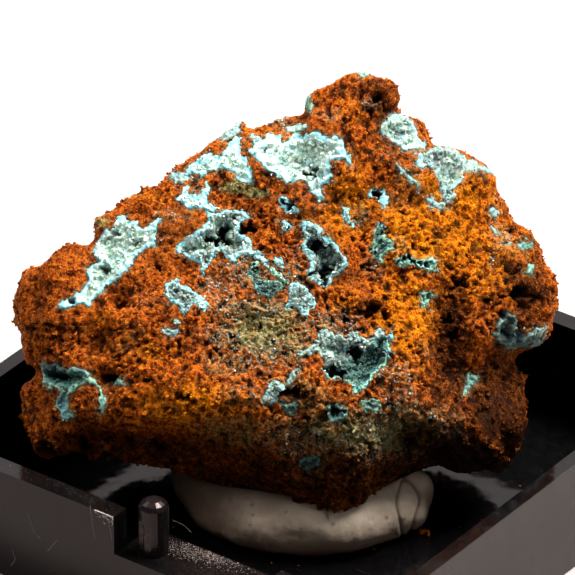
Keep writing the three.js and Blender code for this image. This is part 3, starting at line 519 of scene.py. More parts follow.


# how dark each druse is painted: partly its own colour, partly painted shade for druses and hollows in shadow, and
# lighter for the lit top ones; SHADE adds painted shade and light over parts of them
TONE = {"top_center": 0.08, "top_left": -0.04, "upper_left": -0.05, "left": 0.44, "mid_left": 0.78, "squiggle": 1.05, "mid_right": 0.95, "right_top": 0.66, "right_upper": 0.85, "center": 0.58, "patch_left": 0.84, "lower": 0.86, "low_left": 0.9, "right": 1.15, "small": 0.68}
TONE_OF = np.array([TONE.get(name, 0.5) for name in RINGS] + [0.5, 0.5])
SHADE = [     # x, y, x radius, y radius, how much darker (or lighter)
    (330, 336, 11, 10, -.55), (322, 352, 14, 5, -.3), (384, 345, 6, 8, -.2), (520, 330, 14, 9, .2), (504, 322, 6, 5, -.3), (145, 232, 8, 6, -.15),
    (290, 206, 8, 6, .9), (286, 225, 5, 4, -.2), (376, 196, 7, 5, .4), (254, 272, 5, 9, .3), (266, 290, 8, 6, .3),
    (312, 146, 11, 10, .60), (300, 166, 12, 8, .40), (272, 146, 5, 4, .55), (289, 152, 12, 8, -.25), (320, 162, 6, 7, -.5), (340, 152, 8, 10, -.1), (262, 148, 8, 6, -.2),
    (234, 162, 8, 6, .45), (205, 166, 6, 4, .2), (120, 236, 12, 9, .05), (105, 268, 6, 5, .55), (122, 252, 9, 9, -.1), (137, 243, 5, 4, .35), (140, 234, 8, 6, -.35), (100, 243, 8, 8, .05), (128, 266, 6, 8, -.3), (95, 292, 16, 7, -.05),
    (218, 222, 12, 9, -.12), (245, 250, 10, 8, -.45), (250, 212, 8, 6, -.35), (196, 246, 10, 9, -.25), (326, 262, 8, 12, -.12), (314, 232, 9, 8, -.25),
    (392, 122, 6, 6, -.15), (398, 134, 8, 5, .25), (410, 142, 9, 6, -.35), (443, 160, 9, 6, .25), (452, 158, 6, 5, -.35), (455, 186, 8, 10, -.3), (425, 160, 10, 6, -.1)]


# painted shade over druses that lie in shadow, most of all under the stone and on its lower sides, partly their own
# darker colour: x, y, radius, how dark
DRUSE_SHADE_PAINT = [(48, 364, 12, .88), (62, 367, 9, .8), (80, 370, 9, .7), (506, 336, 13, .78), (522, 346, 10, .75), (536, 343, 8, .4), (335, 412, 15, .82), (292, 409, 13, .78), (309, 434, 13, .86), (310, 463, 14, .86), (371, 404, 12, .66), (411, 422, 13, .66), (529, 245, 9, .45), (531, 268, 8, .35), (471, 382, 12, .40), (60, 395, 14, .35), (113, 380, 8, .6), (500, 345, 10, .7), (513, 321, 12, .75), (488, 212, 5, .3), (185, 298, 14, .38), (258, 276, 7, .5), (268, 291, 7, .5)]


MURK = [(503, 420, 30, 46, .45), (452, 452, 24, 24, .75), (400, 465, 40, 18, .35), (454, 345, 11, 55, .35), (432, 400, 12, 30, .25), (470, 465, 26, 14, .4)]     # shadowed folds of the limonite


def druse_field(p, facing):
    """Warped distance to each druse outline, the nearest one's kind and index, and the dark mouths."""
    x, y = to_drawing(p)
    wx = 2.0 * noise(p / 0.60, 61) + 2.3 * noise(p / 0.28, 62) + 1.6 * noise(p / 0.14, 67)
    wy = 2.0 * noise(p / 0.60, 63) + 2.3 * noise(p / 0.28, 64) + 1.6 * noise(p / 0.14, 68)
    xs, ys = x + wx, y + wy
    near = np.full(len(p), 40.0)
    kind = np.zeros(len(p))
    group = np.full(len(p), -1)
    for g, (name, rings) in enumerate(RINGS.items()):
        for k, ring in rings:
            r = np.array(ring, float)
            lo, hi = r.min(0) - 16, r.max(0) + 16
            m = np.flatnonzero((xs > lo[0]) & (xs < hi[0]) & (ys > lo[1]) & (ys < hi[1]) & (facing > -0.02))
            if len(m) == 0:
                continue
            d = distance(xs[m], ys[m], ring)
            win = d < near[m]
            near[m[win]] = d[win]
            kind[m[win]] = k
            group[m[win]] = g
    hole = np.zeros(len(p))
    deep = np.zeros(len(p))
    hx, hy = x + 1.5 * wx, y + 1.5 * wy
    for cx, cy, r, depth, black in HOLES:
        m = np.flatnonzero((abs(hx - cx) < 2.2 * r) & (abs(hy - cy) < 2.2 * r) & (facing > 0))
        if len(m) == 0:
            continue
        e = np.hypot(hx[m] - cx, hy[m] - cy) / (0.9 * r) + 0.45 * noise(p[m] / 0.30, 66)
        deep[m] = np.maximum(deep[m], depth * (1 - step(0.35, 1.25, e)))
        # how black each mouth is painted: painted shade inside the cavity
        hole[m] = np.maximum(hole[m], black * (1 - step(0.75, 1.3, e)))
    # painted shade: darkens druses lying in shadow, through the same channel as the mouths
    for cx, cy, r, amount in DRUSE_SHADE_PAINT:
        m = (near < 3) & (facing > 0)
        hole = np.where(m, np.maximum(hole, amount * np.exp(-(((x - cx) ** 2 + (y - cy) ** 2) / (r * r)) ** 2)), hole)
    low = group == list(RINGS).index("lower")
    kind = np.where(low & (0.6 * (x - 352) + (y - 352) > 4), G, kind)
    # the unseen sides carry the same rind in scattered patches
    far = np.flatnonzero(facing <= 0.12)
    if len(far):
        q = p[far]
        f = fbm(q / 4.2 + 5, 3, 0.5, 31)
        d = (0.30 - f) * 60 + 4 * noise(q / 0.5, 33) + step(-0.1, 0.12, facing[far]) * 30
        win = d < near[far]
        near[far[win]] = d[win]
        kind[far[win]] = np.where(noise(q[win] / 5, 35) > 0, T, G)
        group[far[win]] = -2
        c, _, own = cells(q / 2.6, 37)
        mouth = (own > 0.55) * (1 - step(0.16, 0.30, c))
        deep[far] = np.maximum(deep[far], 0.9 * mouth)
        # the mouths on the far sides are painted dark too: painted shade
        hole[far] = np.maximum(hole[far], 0.8 * mouth)
    return x, y, near, kind, group, hole, deep


ZONES = {     # x, y, x radius, y radius, weight
    "ochre": [(350, 205, 28, 42, .9), (430, 225, 62, 60, .95), (490, 255, 50, 56, .68), (530, 300, 30, 40, .2), (190, 405, 75, 24, .85), (100, 325, 45, 26, .35), (465, 195, 40, 30, .8), (405, 320, 45, 60, .8), (345, 300, 30, 24, .5), (240, 130, 60, 10, .5), (150, 195, 40, 12, .5), (60, 262, 40, 14, .3), (350, 110, 24, 20, .4), (330, 400, 40, 30, .35), (140, 350, 50, 20, .45)],
    # dark: partly darker limonite, partly painted shade on the underside, in the valleys and in the folds
    "dark": [(448, 300, 14, 30, .5), (330, 398, 60, 18, .5), (370, 420, 60, 20, .55), (230, 430, 60, 14, .35), (45, 330, 46, 62, .38), (272, 172, 16, 18, .8), (285, 190, 16, 10, .6), (255, 215, 30, 10, .5), (70, 440, 60, 32, .75), (450, 350, 22, 75, 1.05), (300, 480, 220, 34, .9), (378, 96, 26, 24, .75), (530, 295, 26, 60, .72), (505, 405, 38, 56, 1.2), (445, 440, 60, 22, .95), (340, 470, 90, 26, .9), (515, 340, 30, 24, .5), (470, 330, 20, 40, .5), (300, 440, 60, 24, .5), (272, 172, 22, 22, .35), (250, 300, 60, 40, .25), (370, 310, 20, 12, .6), (500, 375, 40, 22, .6), (150, 450, 110, 18, .7), (215, 345, 30, 30, .3), (512, 272, 26, 30, .75), (40, 400, 30, 50, .5), (110, 380, 20, 16, .6), (70, 255, 40, 16, .5), (100, 345, 30, 24, .5)],
    "olive": [(238, 187, 20, 8, .9), (256, 193, 16, 6, 1), (262, 330, 52, 34, .75), (370, 432, 100, 28, .75), (300, 398, 40, 28, .5), (235, 432, 60, 24, .5), (330, 470, 60, 24, .45), (230, 362, 36, 20, .5), (100, 222, 12, 10, .7), (135, 330, 26, 16, .35), (400, 245, 20, 14, .4), (325, 455, 26, 18, .5), (290, 345, 30, 20, .5)],
    "vivid": [(180, 226, 26, 17, 1), (308, 214, 12, 14, 1), (322, 234, 11, 14, 1), (338, 258, 10, 14, 1), (352, 280, 12, 14, 1), (366, 298, 12, 10, .9), (262, 200, 30, 12, .6), (275, 160, 18, 14, .5), (60, 290, 34, 22, .35), (160, 265, 30, 20, .55), (120, 300, 30, 16, .45), (226, 290, 26, 18, .4), (395, 190, 26, 20, .4)],
}


def pigments_and_shade(p, x, y, facing):
    front = step(-0.02, 0.2, facing)
    out = []
    for s, (name, zones) in enumerate(ZONES.items()):
        w = np.zeros(len(p))
        for cx, cy, rx, ry, a in zones:
            e = ((x - cx) / rx) ** 2 + ((y - cy) / ry) ** 2
            w = np.maximum(w, a * np.exp(-e * 0.9))
        share = (0.55, 0.5, 0.25, 0.35)[s]
        away = share * step(-0.1, 0.5, fbm(p / 4.5 + 9 * s, 3, 0.5, 71 + 3 * s))
        w = w * front + away * (1 - front)
        w = w + 0.30 * fbm(p / 1.1 + 4 * s, 3, 0.6, 81 + 3 * s) * (0.25 + w)
        out.append(np.clip(w, 0, 1))
    return np.stack(out, 1)


def spongy(p, pigment_and_shade, facing):
    """Height in mm of the porous limonite skin, and how deep a point lies in the pits, which the material paints darker
    as painted shade.
    """
    dark, vivid = pigment_and_shade[:, 1], np.clip(pigment_and_shade[:, 3], 0, 1)
    warp = 0.30 * np.stack([noise(p / 0.7, 91), noise(p / 0.7, 92), noise(p / 0.7, 93)], 1) + 0.12 * np.stack([noise(p / 0.3, 94), noise(p / 0.3, 95), noise(p / 0.3, 96)], 1)
    q = p + warp
    coarse = 0.16 * fbm(p / 1.4, 3, 0.55, 101)
    r1 = 1 - np.minimum(1, abs(noise(q / 0.95, 107)) * 2.2)
    r2 = 1 - np.minimum(1, abs(noise(q / 0.46, 109)) * 2.2)
    r3 = 1 - np.minimum(1, abs(noise(q / 0.22, 112)) * 2.0)
    c1, s1, o1 = cells(q / 0.95, 111)
    c2, s2, o2 = cells(q / 0.50, 121)
    c3, s3, o3 = cells(p / 0.24, 131)
    pit1 = (o1 > 0.50 - 0.2 * dark) * (1 - step(0.10, 0.44, c1)) * (0.35 + 0.65 * o1)
    pit2 = (o2 > 0.45) * (1 - step(0.14, 0.48, c2))
    grain = 1 - c3 / 0.75
    calm = 1 - 0.8 * vivid
    h = coarse + (0.14 * (r1 - 0.5) + 0.13 * (r2 - 0.5) + 0.13 * (r3 - 0.4)) * calm
    h = h - 0.46 * pit1 * (0.6 + 0.8 * dark) * calm - 0.24 * pit2 * calm + 0.06 * grain + 0.03 * noise(p / 0.11, 141)
    # how dark the skin is painted: painted shade in the pits and between the ridges
    pore = 0.80 * pit1 + 0.75 * pit2 + 0.55 * (0.55 - r2) + 0.35 * (0.45 - r3) + 0.25 * (0.5 - r1)
    return h - 0.05, np.clip(pore * (1 - 0.7 * vivid), 0, 1)


def skin(p, n, as_crust=False):
    """Fine displacement and attributes at the given points of the coarse rock."""
    facing = n @ BACK
    x, y, near, kind, group, hole, deep = druse_field(p, facing)
    pigment_and_shade = pigments_and_shade(p, x, y, facing)
    h, pore = spongy(p, pigment_and_shade, facing)
    # painted shade over the shadowed folds, added to the pits' painted shade
    for cx, cy, rx, ry, amount in MURK:
        pore = np.minimum(1, pore + amount * np.exp(-((x - cx) / rx) ** 2 - ((y - cy) / ry) ** 2) * (facing > -0.1))
    inside = 1 - step(-1.5, 1.0, near)
    # rind: a raised, knobbly rim that steps down into the crystal-lined hollow
    c, s, o = cells(p / 0.34, 151)
    knob = 1 - c / 0.8
    ridge = np.exp(-((near + 2.0) / 2.2) ** 2)
    wide = near + 3.5 * fbm(p / 0.8, 2, 0.5, 171)
    hollow = step(-3.0, -11.0, wide)
    c4, s4, o4 = cells(p / 0.17, 161)
    fold = abs(noise(p / 0.75, 163))
    crust = -0.01 + 0.07 * ridge * (0.5 + 0.5 * noise(p / 0.35, 165)) - HOLLOW_OF[group] * hollow + 0.07 * knob + 0.05 * (1 - c4 / 0.8) + 0.24 * (0.4 - fold) * hollow + 0.45 * h
    lift = crust if as_crust else crust - 0.16
    h = h * (0.45 + 0.55 * step(0.0, 7.0, near))            # the limonite meets the rind almost level
    dents = 0
    for cx, cy, r, amp in DENTS:
        dents = dents + amp * np.exp(-((x - cx) ** 2 + (y - cy) ** 2) / (r * r))
    moved = p + n * (dents * np.ones(len(p)))[:, None]      # pushed-out lobes get their own roughness
    dents = dents + (0.30 * fbm(moved / 0.55, 3, 0.6, 401) + 0.10 * noise(moved / 0.16, 405)) * step(0.4, 1.4, dents)
    limb = step(0.40, 0.05, abs(facing))
    height = (h * (1 - inside) + lift * inside) * (1 - 0.35 * limb) - deep + dents - 0.07 * limb
    bloom = np.zeros(len(p))
    for cx, cy, rx, ry, amp in BLOOM:
        bloom = np.maximum(bloom, amp * np.exp(-((x - cx) / rx) ** 2 - ((y - cy) / ry) ** 2))
    bloom = bloom * step(-0.02, 0.2, facing)
    halo = np.maximum(0.78 * np.exp(-np.maximum(near, 0) / 3.2), bloom) * (1 - inside)
    # third channel: how dark the mouths and the druses in shadow are painted (painted shade)
    rind = np.stack([np.clip(0.5 + near / 40, 0, 1), kind / 2, hole], 1)
    # painted shade: darker between the knobs
    tone = TONE_OF[group] + 0.22 * fbm(p / 0.9, 3, 0.6, 181) + 0.25 * (0.45 - knob)
    for cx, cy, rx, ry, amount in SHADE:
        tone = tone + amount * np.exp(-((x - cx) / rx) ** 2 - ((y - cy) / ry) ** 2)
    return height, {
        "pigment_and_shade": np.concatenate([pigment_and_shade[:, :3], pigment_and_shade[:, 3:]], 1),
        "rind": rind,
        # painted shade in the pits and folds; inside the druses, painted shade between the knobs
        "pore": np.clip(pore * (1 - inside) + inside * (0.5 - 0.6 * knob), 0, 1),
        "halo": halo,
        "vivid": pigment_and_shade[:, 3],
        "inside": inside,
        "tone": np.clip(tone, 0, 1),
    }, near, kind, group, hole, deep, x, y


height, attrs, NEAR, KIND, GROUP, HOLE, DEEP, DX, DY = skin(P, N)
ROCK = P + N * height[:, None]
FACING = N @ BACK


# ------------------------------------------------------------------ materials
def limonite(name):
    m = Nodes(name)
    ochre, dark, olive = m.split("pigment_and_shade")
    vivid, pore, halo = m.attr("vivid"), m.attr("pore"), m.attr("halo")
    rind_d, rind_k, hole = m.split("rind")
    big = m.noise(0.8, 4, 0.6)
    mid = m.noise(3.2, 4, 0.65)
    fine = m.noise(9.5, 3, 0.65)
    grit = m.voronoi(6.5, "F1", "Color")
    rust = m.ramp(mid, (0.32, srgb(60, 20, 4)), (0.42, srgb(140, 52, 6)), (0.54, srgb(200, 90, 12)), (0.74, srgb(234, 146, 44)))
    gold = m.ramp(mid, (0.30, srgb(104, 44, 1)), (0.42, srgb(196, 94, 1)), (0.56, srgb(238, 134, 3)), (0.76, srgb(250, 184, 36)))
    brown = m.ramp(mid, (0.32, srgb(24, 8, 2)), (0.50, srgb(76, 26, 2)), (0.72, srgb(140, 58, 4)))
    green = m.ramp(mid, (0.30, srgb(62, 56, 28)), (0.50, srgb(144, 138, 82)), (0.75, srgb(208, 206, 150)))
    flame = m.ramp(mid, (0.30, srgb(102, 44, 8)), (0.52, srgb(166, 78, 18)), (0.78, srgb(204, 118, 44)))
    wob = m.math("SUBTRACT", m.noise(2.1, 3, 0.6), 0.5)

    def soft(w, lo=0.25, hi=0.75):
        return m.range(m.math("ADD", w, m.math("MULTIPLY", wob, 0.7)), lo, hi)
    base = m.mix(soft(ochre), rust, gold)
    base = m.mix(soft(vivid), base, flame)
    base = m.mix(soft(olive), base, green)
    # partly painted shade: the dark zone darkens the underside, the valleys and the folds
    base = m.mix(m.math("MULTIPLY", soft(dark), 0.9), base, brown)
    spots = m.range(m.noise(1.7, 5, 0.7), 0.60, 0.72)
    base = m.mix(m.math("MULTIPLY", spots, 0.55), base, brown)
    # painted highlight and painted shade: the bump below takes these same noises as its height, so the raised grains
    # are painted lighter and the pits darker
    base = m.mix(m.math("MULTIPLY", m.range(fine, 0.52, 0.68), 0.45), base, m.mix(0.5, base, srgb(250, 178, 60)))
    base = m.mix(m.math("MULTIPLY", m.range(fine, 0.50, 0.36), 0.70), base, srgb(34, 10, 2))
    base = m.mix(m.math("MULTIPLY", m.range(mid, 0.44, 0.34), 0.5), base, srgb(40, 12, 2))
    # painted shade: pits, recesses and shadowed folds painted near black
    base = m.mix(m.range(pore, 0.06, 0.60, 0.0, 0.84), base, srgb(17, 7, 4))
    # blue-white bloom next to the rinds
    lace = m.math("ABSOLUTE", m.math("SUBTRACT", m.noise(1.5, 4, 0.65), 0.5))
    web = m.math("MAXIMUM", m.range(lace, 0.045, 0.012), m.range(m.noise(5.2, 3, 0.7), 0.55, 0.64))
    dust = m.math("MULTIPLY", m.range(halo, 0.12, 0.75), web)
    base = m.mix(m.math("MULTIPLY", dust, 0.52), base, m.mix(m.range(m.noise(3.0, 2, 0.5), 0.42, 0.58), srgb(92, 118, 92), srgb(190, 200, 160)))
    crust = crust_colour(m, rind_d, rind_k, hole)
    base = m.mix(m.attr("inside"), base, crust)
    # painted shade: the cavity mouths and the druses in shadow painted near black
    base = m.mix(m.math("MULTIPLY", hole, 0.93), base, srgb(10, 8, 7))
    m.set(Base_Color=base, Roughness=m.range(fine, 0.3, 0.7, 0.70, 0.34), Specular_IOR_Level=0.05)
    b = m.bump(fine, 1.0, 0.00014)
    b = m.bump(mid, 0.8, 0.00022, b)
    m.set(Normal=b)
    return m.material


def crust_colour(m, d, k, hole):
    """Colour across a druse: thin cyan-white rim, then crystals from bright to dark grey-green."""
    tone = m.attr("tone")
    vary = m.math("MULTIPLY", m.math("SUBTRACT", m.noise(3.4, 4, 0.65), 0.5), 0.26)
    at = m.math("ADD", d, vary)
    cloud = m.noise(1.3, 4, 0.6)
    grain = m.noise(4.2, 4, 0.65)
    bright = m.ramp(cloud, (0.30, srgb(152, 220, 230)), (0.42, srgb(194, 240, 242)), (0.50, srgb(232, 250, 238)), (0.58, srgb(198, 238, 226)), (0.70, srgb(230, 240, 204)))
    middle = m.ramp(grain, (0.30, srgb(112, 144, 130)), (0.45, srgb(162, 198, 176)), (0.58, srgb(202, 230, 204)), (0.72, srgb(240, 250, 218)))
    deepc = m.ramp(grain, (0.30, srgb(18, 28, 28)), (0.46, srgb(52, 70, 66)), (0.60, srgb(92, 116, 108)), (0.74, srgb(170, 190, 176)))
    # bright to dark by tone: partly the druse's own colour, partly painted shade and light
    body = m.mix(m.range(tone, 0.08, 0.50), bright, middle)
    body = m.mix(m.range(tone, 0.50, 0.95), body, deepc)
    teal = m.ramp(grain, (0.30, srgb(8, 24, 24)), (0.46, srgb(24, 62, 56)), (0.62, srgb(62, 118, 104)), (0.76, srgb(128, 182, 162)))
    body = m.mix(m.range(k, 0.6, 0.9), body, teal)
    rim_t = m.ramp(at, (0.40, srgb(236, 252, 248)), (0.44, srgb(170, 238, 246)), (0.48, srgb(130, 214, 222)), (0.52, srgb(112, 150, 128)))
    rim_w = m.ramp(at, (0.40, srgb(128, 154, 140)), (0.45, srgb(162, 190, 176)), (0.49, srgb(116, 158, 150)), (0.53, srgb(108, 112, 80)))
    rim_g = m.ramp(at, (0.41, srgb(60, 112, 100)), (0.45, srgb(150, 206, 184)), (0.49, srgb(120, 166, 130)), (0.53, srgb(92, 100, 62)))
    rim = m.mix(m.range(k, 0.2, 0.45), rim_t, rim_w)
    rim = m.mix(m.range(k, 0.6, 0.9), rim, rim_g)
    c = m.mix(m.range(m.math("SUBTRACT", at, m.math("MULTIPLY", tone, 0.032)), 0.36, 0.415), body, rim)
    speck = m.noise(7.5, 3, 0.7)
    c = m.mix(m.math("MULTIPLY", m.range(speck, 0.58, 0.72), 0.45), c, srgb(244, 250, 244))
    c = m.mix(m.math("MULTIPLY", m.range(speck, 0.44, 0.30), m.range(tone, 0.1, 0.8, 0.25, 0.8)), c, srgb(28, 52, 52))
    c = m.mix(m.math("MULTIPLY", m.range(m.noise(0.9, 3, 0.6), 0.52, 0.66), 0.35), c, srgb(112, 176, 206))
    rusty = m.math("MULTIPLY", m.range(m.noise(2.4, 4, 0.7), 0.60, 0.70), m.range(k, 0.0, 0.5, 0.35, 0.6))
    return m.mix(rusty, c, srgb(178, 122, 50))


def crust(name):
    m = Nodes(name)
    d, k, hole = m.split("rind")
    c = crust_colour(m, d, k, hole)
    # painted shade: darker between the knobs of the rind, stronger in the darker druses, and the cavity mouths near
    # black
    c = m.mix(m.math("MULTIPLY", m.range(m.attr("pore"), 0.40, 1.0), m.range(m.attr("tone"), 0.0, 0.8, 0.25, 0.8)), c, srgb(24, 44, 46))
    c = m.mix(m.math("MULTIPLY", hole, 0.95), c, srgb(7, 14, 15))
    m.set(Base_Color=c, Roughness=m.range(m.noise(6, 3, 0.6), 0.3, 0.7, 0.25, 0.60), Specular_IOR_Level=0.35)
    m.set(Normal=m.bump(m.noise(11, 4, 0.65), 0.45, 0.00006))
    m.set(Subsurface_Weight=0.12)
    m.shader.inputs["Subsurface Radius"].default_value = (0.0004, 0.0005, 0.0005)
    m.shader.inputs["Subsurface Scale"].default_value = 0.6
    return m.material


def crystal(name):
    m = Nodes(name)
    r, k, z = m.split("tint_and_shade")
    c = m.ramp(r, (0.0, srgb(214, 246, 240)), (0.35, srgb(242, 252, 234)), (0.6, srgb(198, 240, 236)), (0.85, srgb(244, 250, 220)), (1.0, srgb(182, 230, 234)))
    c = m.mix(m.range(k, 0.6, 0.9), c, srgb(84, 140, 128))
    # painted shade: crystals deep in the hollows and in the darker druses are painted darker
    c = m.mix(m.range(z, 0.12, 0.9, 0.0, 0.85), c, srgb(70, 98, 88))
    c = m.mix(m.math("MULTIPLY", m.range(m.noise(5, 3, 0.6), 0.45, 0.7), 0.3), c, srgb(236, 246, 240))
    m.set(Base_Color=c, Roughness=0.08, IOR=1.58)
    m.set(Transmission_Weight=0.38)
    m.set(Normal=m.bump(m.noise(9, 2, 0.5), 0.10, 0.00003))
    return m.material


M_ROCK, M_CRUST, M_CRYSTAL = limonite("limonite_rusty"), crust("senegalite_rind"), crystal("senegalite_crystals")

make("limonite_matrix", ROCK, TRI, M_ROCK, attrs, replaces=["matrix"])

# ------------------------------------------------------------------ druse shells and crystals
BLADE = np.array([(-1, -1, 0), (1, -1, 0), (1, 1, 0), (-1, 1, 0), (-1, -1, .62), (1, -1, .62), (1, 1, .62), (-1, 1, .62), (-.55, 0, 1), (.55, 0, 1)], float)
BLADE_F = np.array([(0, 2, 1), (0, 3, 2), (0, 1, 5), (0, 5, 4), (1, 2, 6), (1, 6, 5), (2, 3, 7), (2, 7, 6), (3, 0, 4), (3, 4, 7), (4, 5, 9), (4, 9, 8), (6, 7, 8), (6, 8, 9), (5, 6, 9), (7, 4, 8)])


def scatter(where, normal, length, width, depth, tilt, sink=0.25):
    """Bladed crystals standing on the given points, each turned and tilted at random."""
    n = len(where)
    axis = normal + tilt * RNG.normal(size=(n, 3))
    axis /= np.linalg.norm(axis, axis=1, keepdims=True)
    side = np.cross(axis, RNG.normal(size=(n, 3)))
    side /= np.linalg.norm(side, axis=1, keepdims=True)
    third = np.cross(axis, side)
    v = BLADE[None] * np.stack([width, depth, length], 1)[:, None]
    v[:, :, 2] -= sink * length[:, None]
    out = v[:, :, :1] * side[:, None] + v[:, :, 1:2] * third[:, None] + v[:, :, 2:] * axis[:, None] + where[:, None]
    f = BLADE_F[None] + (np.arange(n) * len(BLADE))[:, None, None]
    return out.reshape(-1, 3), f.reshape(-1, 3)


def shell(group):
    """The crust over one group of outlines: finer triangles on top, closed by a wall and an underside."""
    keep = (GROUP == group) & (NEAR < 2.4) & (FACING > 0.0)
    f = TRI[keep[TRI].all(1)]
    if len(f) == 0:
        return None
    used, f = np.unique(f, return_inverse=True)
    f = f.reshape(-1, 3)
    p, n = P[used], N[used]
    edges = np.sort(np.concatenate([f[:, [0, 1]], f[:, [1, 2]], f[:, [2, 0]]]), 1)
    unique, inverse, count = np.unique(edges, axis=0, return_inverse=True, return_counts=True)
    inverse = inverse.reshape(-1)
    c = len(f)
    e01, e12, e20 = inverse[:c] + len(p), inverse[c:2 * c] + len(p), inverse[2 * c:] + len(p)
    fine_p = np.concatenate([p, (p[unique[:, 0]] + p[unique[:, 1]]) / 2])
    fine_n = np.concatenate([n, n[unique[:, 0]] + n[unique[:, 1]]])
    fine_n /= np.linalg.norm(fine_n, axis=1, keepdims=True)
    top = np.concatenate([np.stack([f[:, 0], e01, e20], 1), np.stack([e01, f[:, 1], e12], 1), np.stack([e20, e12, f[:, 2]], 1), np.stack([e01, e12, e20], 1)])
    h, a, near, kind, _, hole, deep, x, y = skin(fine_p, fine_n, True)
    edge_drop = step(0.2, 2.4, near) * 0.22
    v_top = fine_p + fine_n * (h - edge_drop)[:, None]
    under = p + n * (h[:len(p)] - 0.45)[:, None]
    shift = len(v_top)
    bottom = f[:, ::-1] + shift
    walls = []
    directed = np.concatenate([f[:, [0, 1]], f[:, [1, 2]], f[:, [2, 0]]])
    rim = np.flatnonzero(count[inverse] == 1)
    for r in rim:
        i, j = directed[r]
        mid = inverse[r] + len(p)
        walls += [(i, i + shift, mid), (mid, i + shift, j + shift), (mid, j + shift, j)]
    faces = np.concatenate([top, bottom, np.array(walls)])
    v = np.concatenate([v_top, under])
    attributes = {k: np.concatenate([np.asarray(val), np.asarray(val)[:len(p)]]) for k, val in a.items()}
    return v, faces, attributes, (v_top, fine_n, near, kind, hole, deep)


CAD_OF = {name: "druse_" + name for name in RINGS if name != "small"}
for g, name in enumerate(RINGS):
    made = shell(g)
    if made is None:
        continue
    v, f, a, (top, fine_n, near, kind, hole, deep) = made
    tone = a["tone"][:len(top)]
    make("rind_" + name, v, f, M_CRUST, {k: a[k] for k in ("rind", "pore", "tone")}, replaces=[CAD_OF[name]] if name in CAD_OF else ())
    # crystals: many small blades in the hollow, a fine sugar on the rim
    inner = np.flatnonzero((near < -4.0) & (hole < 0.5))
    rim = np.flatnonzero((near < -0.5) & (near >= -4.5) & (hole < 0.5))
    dense = {"top_center": 0.085, "left": 0.075, "lower": 0.085, "right_top": 0.09, "right_upper": 0.075, "mid_left": 0.075}.get(name, 0.06)
    a_i = inner[RNG.random(len(inner)) < dense]
    r_i = rim[RNG.random(len(rim)) < 0.035]
    parts = []
    if len(a_i):
        L = RNG.uniform(0.18, 0.42, len(a_i)) * (0.8 + 0.5 * RNG.random(len(a_i)) ** 3)
        wd = L * RNG.uniform(0.22, 0.42, len(a_i))
        parts.append((*scatter(top[a_i], fine_n[a_i], L, wd, wd * RNG.uniform(0.45, 0.9, len(a_i)), 0.55), a_i))
    if len(r_i):
        L = RNG.uniform(0.07, 0.17, len(r_i))
        wd = L * RNG.uniform(0.3, 0.55, len(r_i))
        parts.append((*scatter(top[r_i], fine_n[r_i], L, wd, wd * RNG.uniform(0.5, 1.0, len(r_i)), 0.7), r_i))
    if parts:
        vs, fs, tints, at = [], [], [], 0
        for pv, pf, idx in parts:
            vs.append(pv)
            fs.append(pf + at)
            at += len(pv)
            # third channel: painted shade, from the druse's tone and the depth of the hollow
            t = np.stack([RNG.random(len(idx)), kind[idx] / 2, np.clip(0.7 * tone[idx] + 0.4 * deep[idx], 0, 1)], 1)
            tints.append(np.repeat(t, len(BLADE), 0))
        make("crystals_" + name, np.concatenate(vs), np.concatenate(fs), M_CRYSTAL, {"tint_and_shade": np.concatenate(tints)}, smooth=False)

# ------------------------------------------------------------------ loose-looking limonite grains
ICO = np.array([(-1, 1.618, 0), (1, 1.618, 0), (-1, -1.618, 0), (1, -1.618, 0), (0, -1, 1.618), (0, 1, 1.618), (0, -1, -1.618), (0, 1, -1.618), (1.618, 0, -1), (1.618, 0, 1), (-1.618, 0, -1), (-1.618, 0, 1)]) / 1.902
ICO_F = np.array([(0, 11, 5), (0, 5, 1), (0, 1, 7), (0, 7, 10), (0, 10, 11), (1, 5, 9), (5, 11, 4), (11, 10, 2), (10, 7, 6), (7, 1, 8), (3, 9, 4), (3, 4, 2), (3, 2, 6), (3, 6, 8), (3, 8, 9), (4, 9, 5), (2, 4, 11), (6, 2, 10), (8, 6, 7), (9, 8, 1)])


def grains(where, size, squash=0.3):
    n = len(where)
    v = ICO[None] * size[:, None, None] * (1 + squash * RNG.normal(size=(n, 12, 1))) * (1 + 0.35 * RNG.normal(size=(n, 1, 3)))
    f = ICO_F[None] + (np.arange(n) * 12)[:, None, None]
    return (v + where[:, None]).reshape(-1, 3), f.reshape(-1, 3)


NR = normals_of(ROCK, TRI)
open_skin = (attrs["inside"] < 0.15) & (HOLE < 0.25) & (attrs["pore"] < 0.55)
area = np.bincount(TRI.ravel(), np.repeat(np.linalg.norm(np.cross(ROCK[TRI[:, 1]] - ROCK[TRI[:, 0]], ROCK[TRI[:, 2]] - ROCK[TRI[:, 0]]), axis=1), 3), len(ROCK))
for part, (count, lo, hi) in enumerate(((8200, 0.035, 0.08), (3200, 0.07, 0.14))):
    weight = open_skin * area * (1.0 - 0.6 * attrs["vivid"]) * (1 + 1.5 * (FACING > 0)) * (0.15 + 0.85 * step(0.05, 0.4, abs(FACING)))
    pick = RNG.choice(len(ROCK), count, replace=False, p=weight / weight.sum())
    size = RNG.uniform(lo, hi, count)
    v, f = grains(ROCK[pick] + NR[pick] * size[:, None] * 0.15, size)
    a = {k: np.repeat(np.asarray(attrs[k])[pick], 12, 0) for k in ("pigment_and_shade", "rind", "halo", "vivid", "inside", "tone")}
    a["pore"] = np.repeat(np.clip(attrs["pore"][pick] * 0.5 - 0.1 + 0.25 * RNG.random(count), 0, 1), 12)
    make(f"limonite_grains_{part + 1}", v, f, M_ROCK, a, smooth=False)

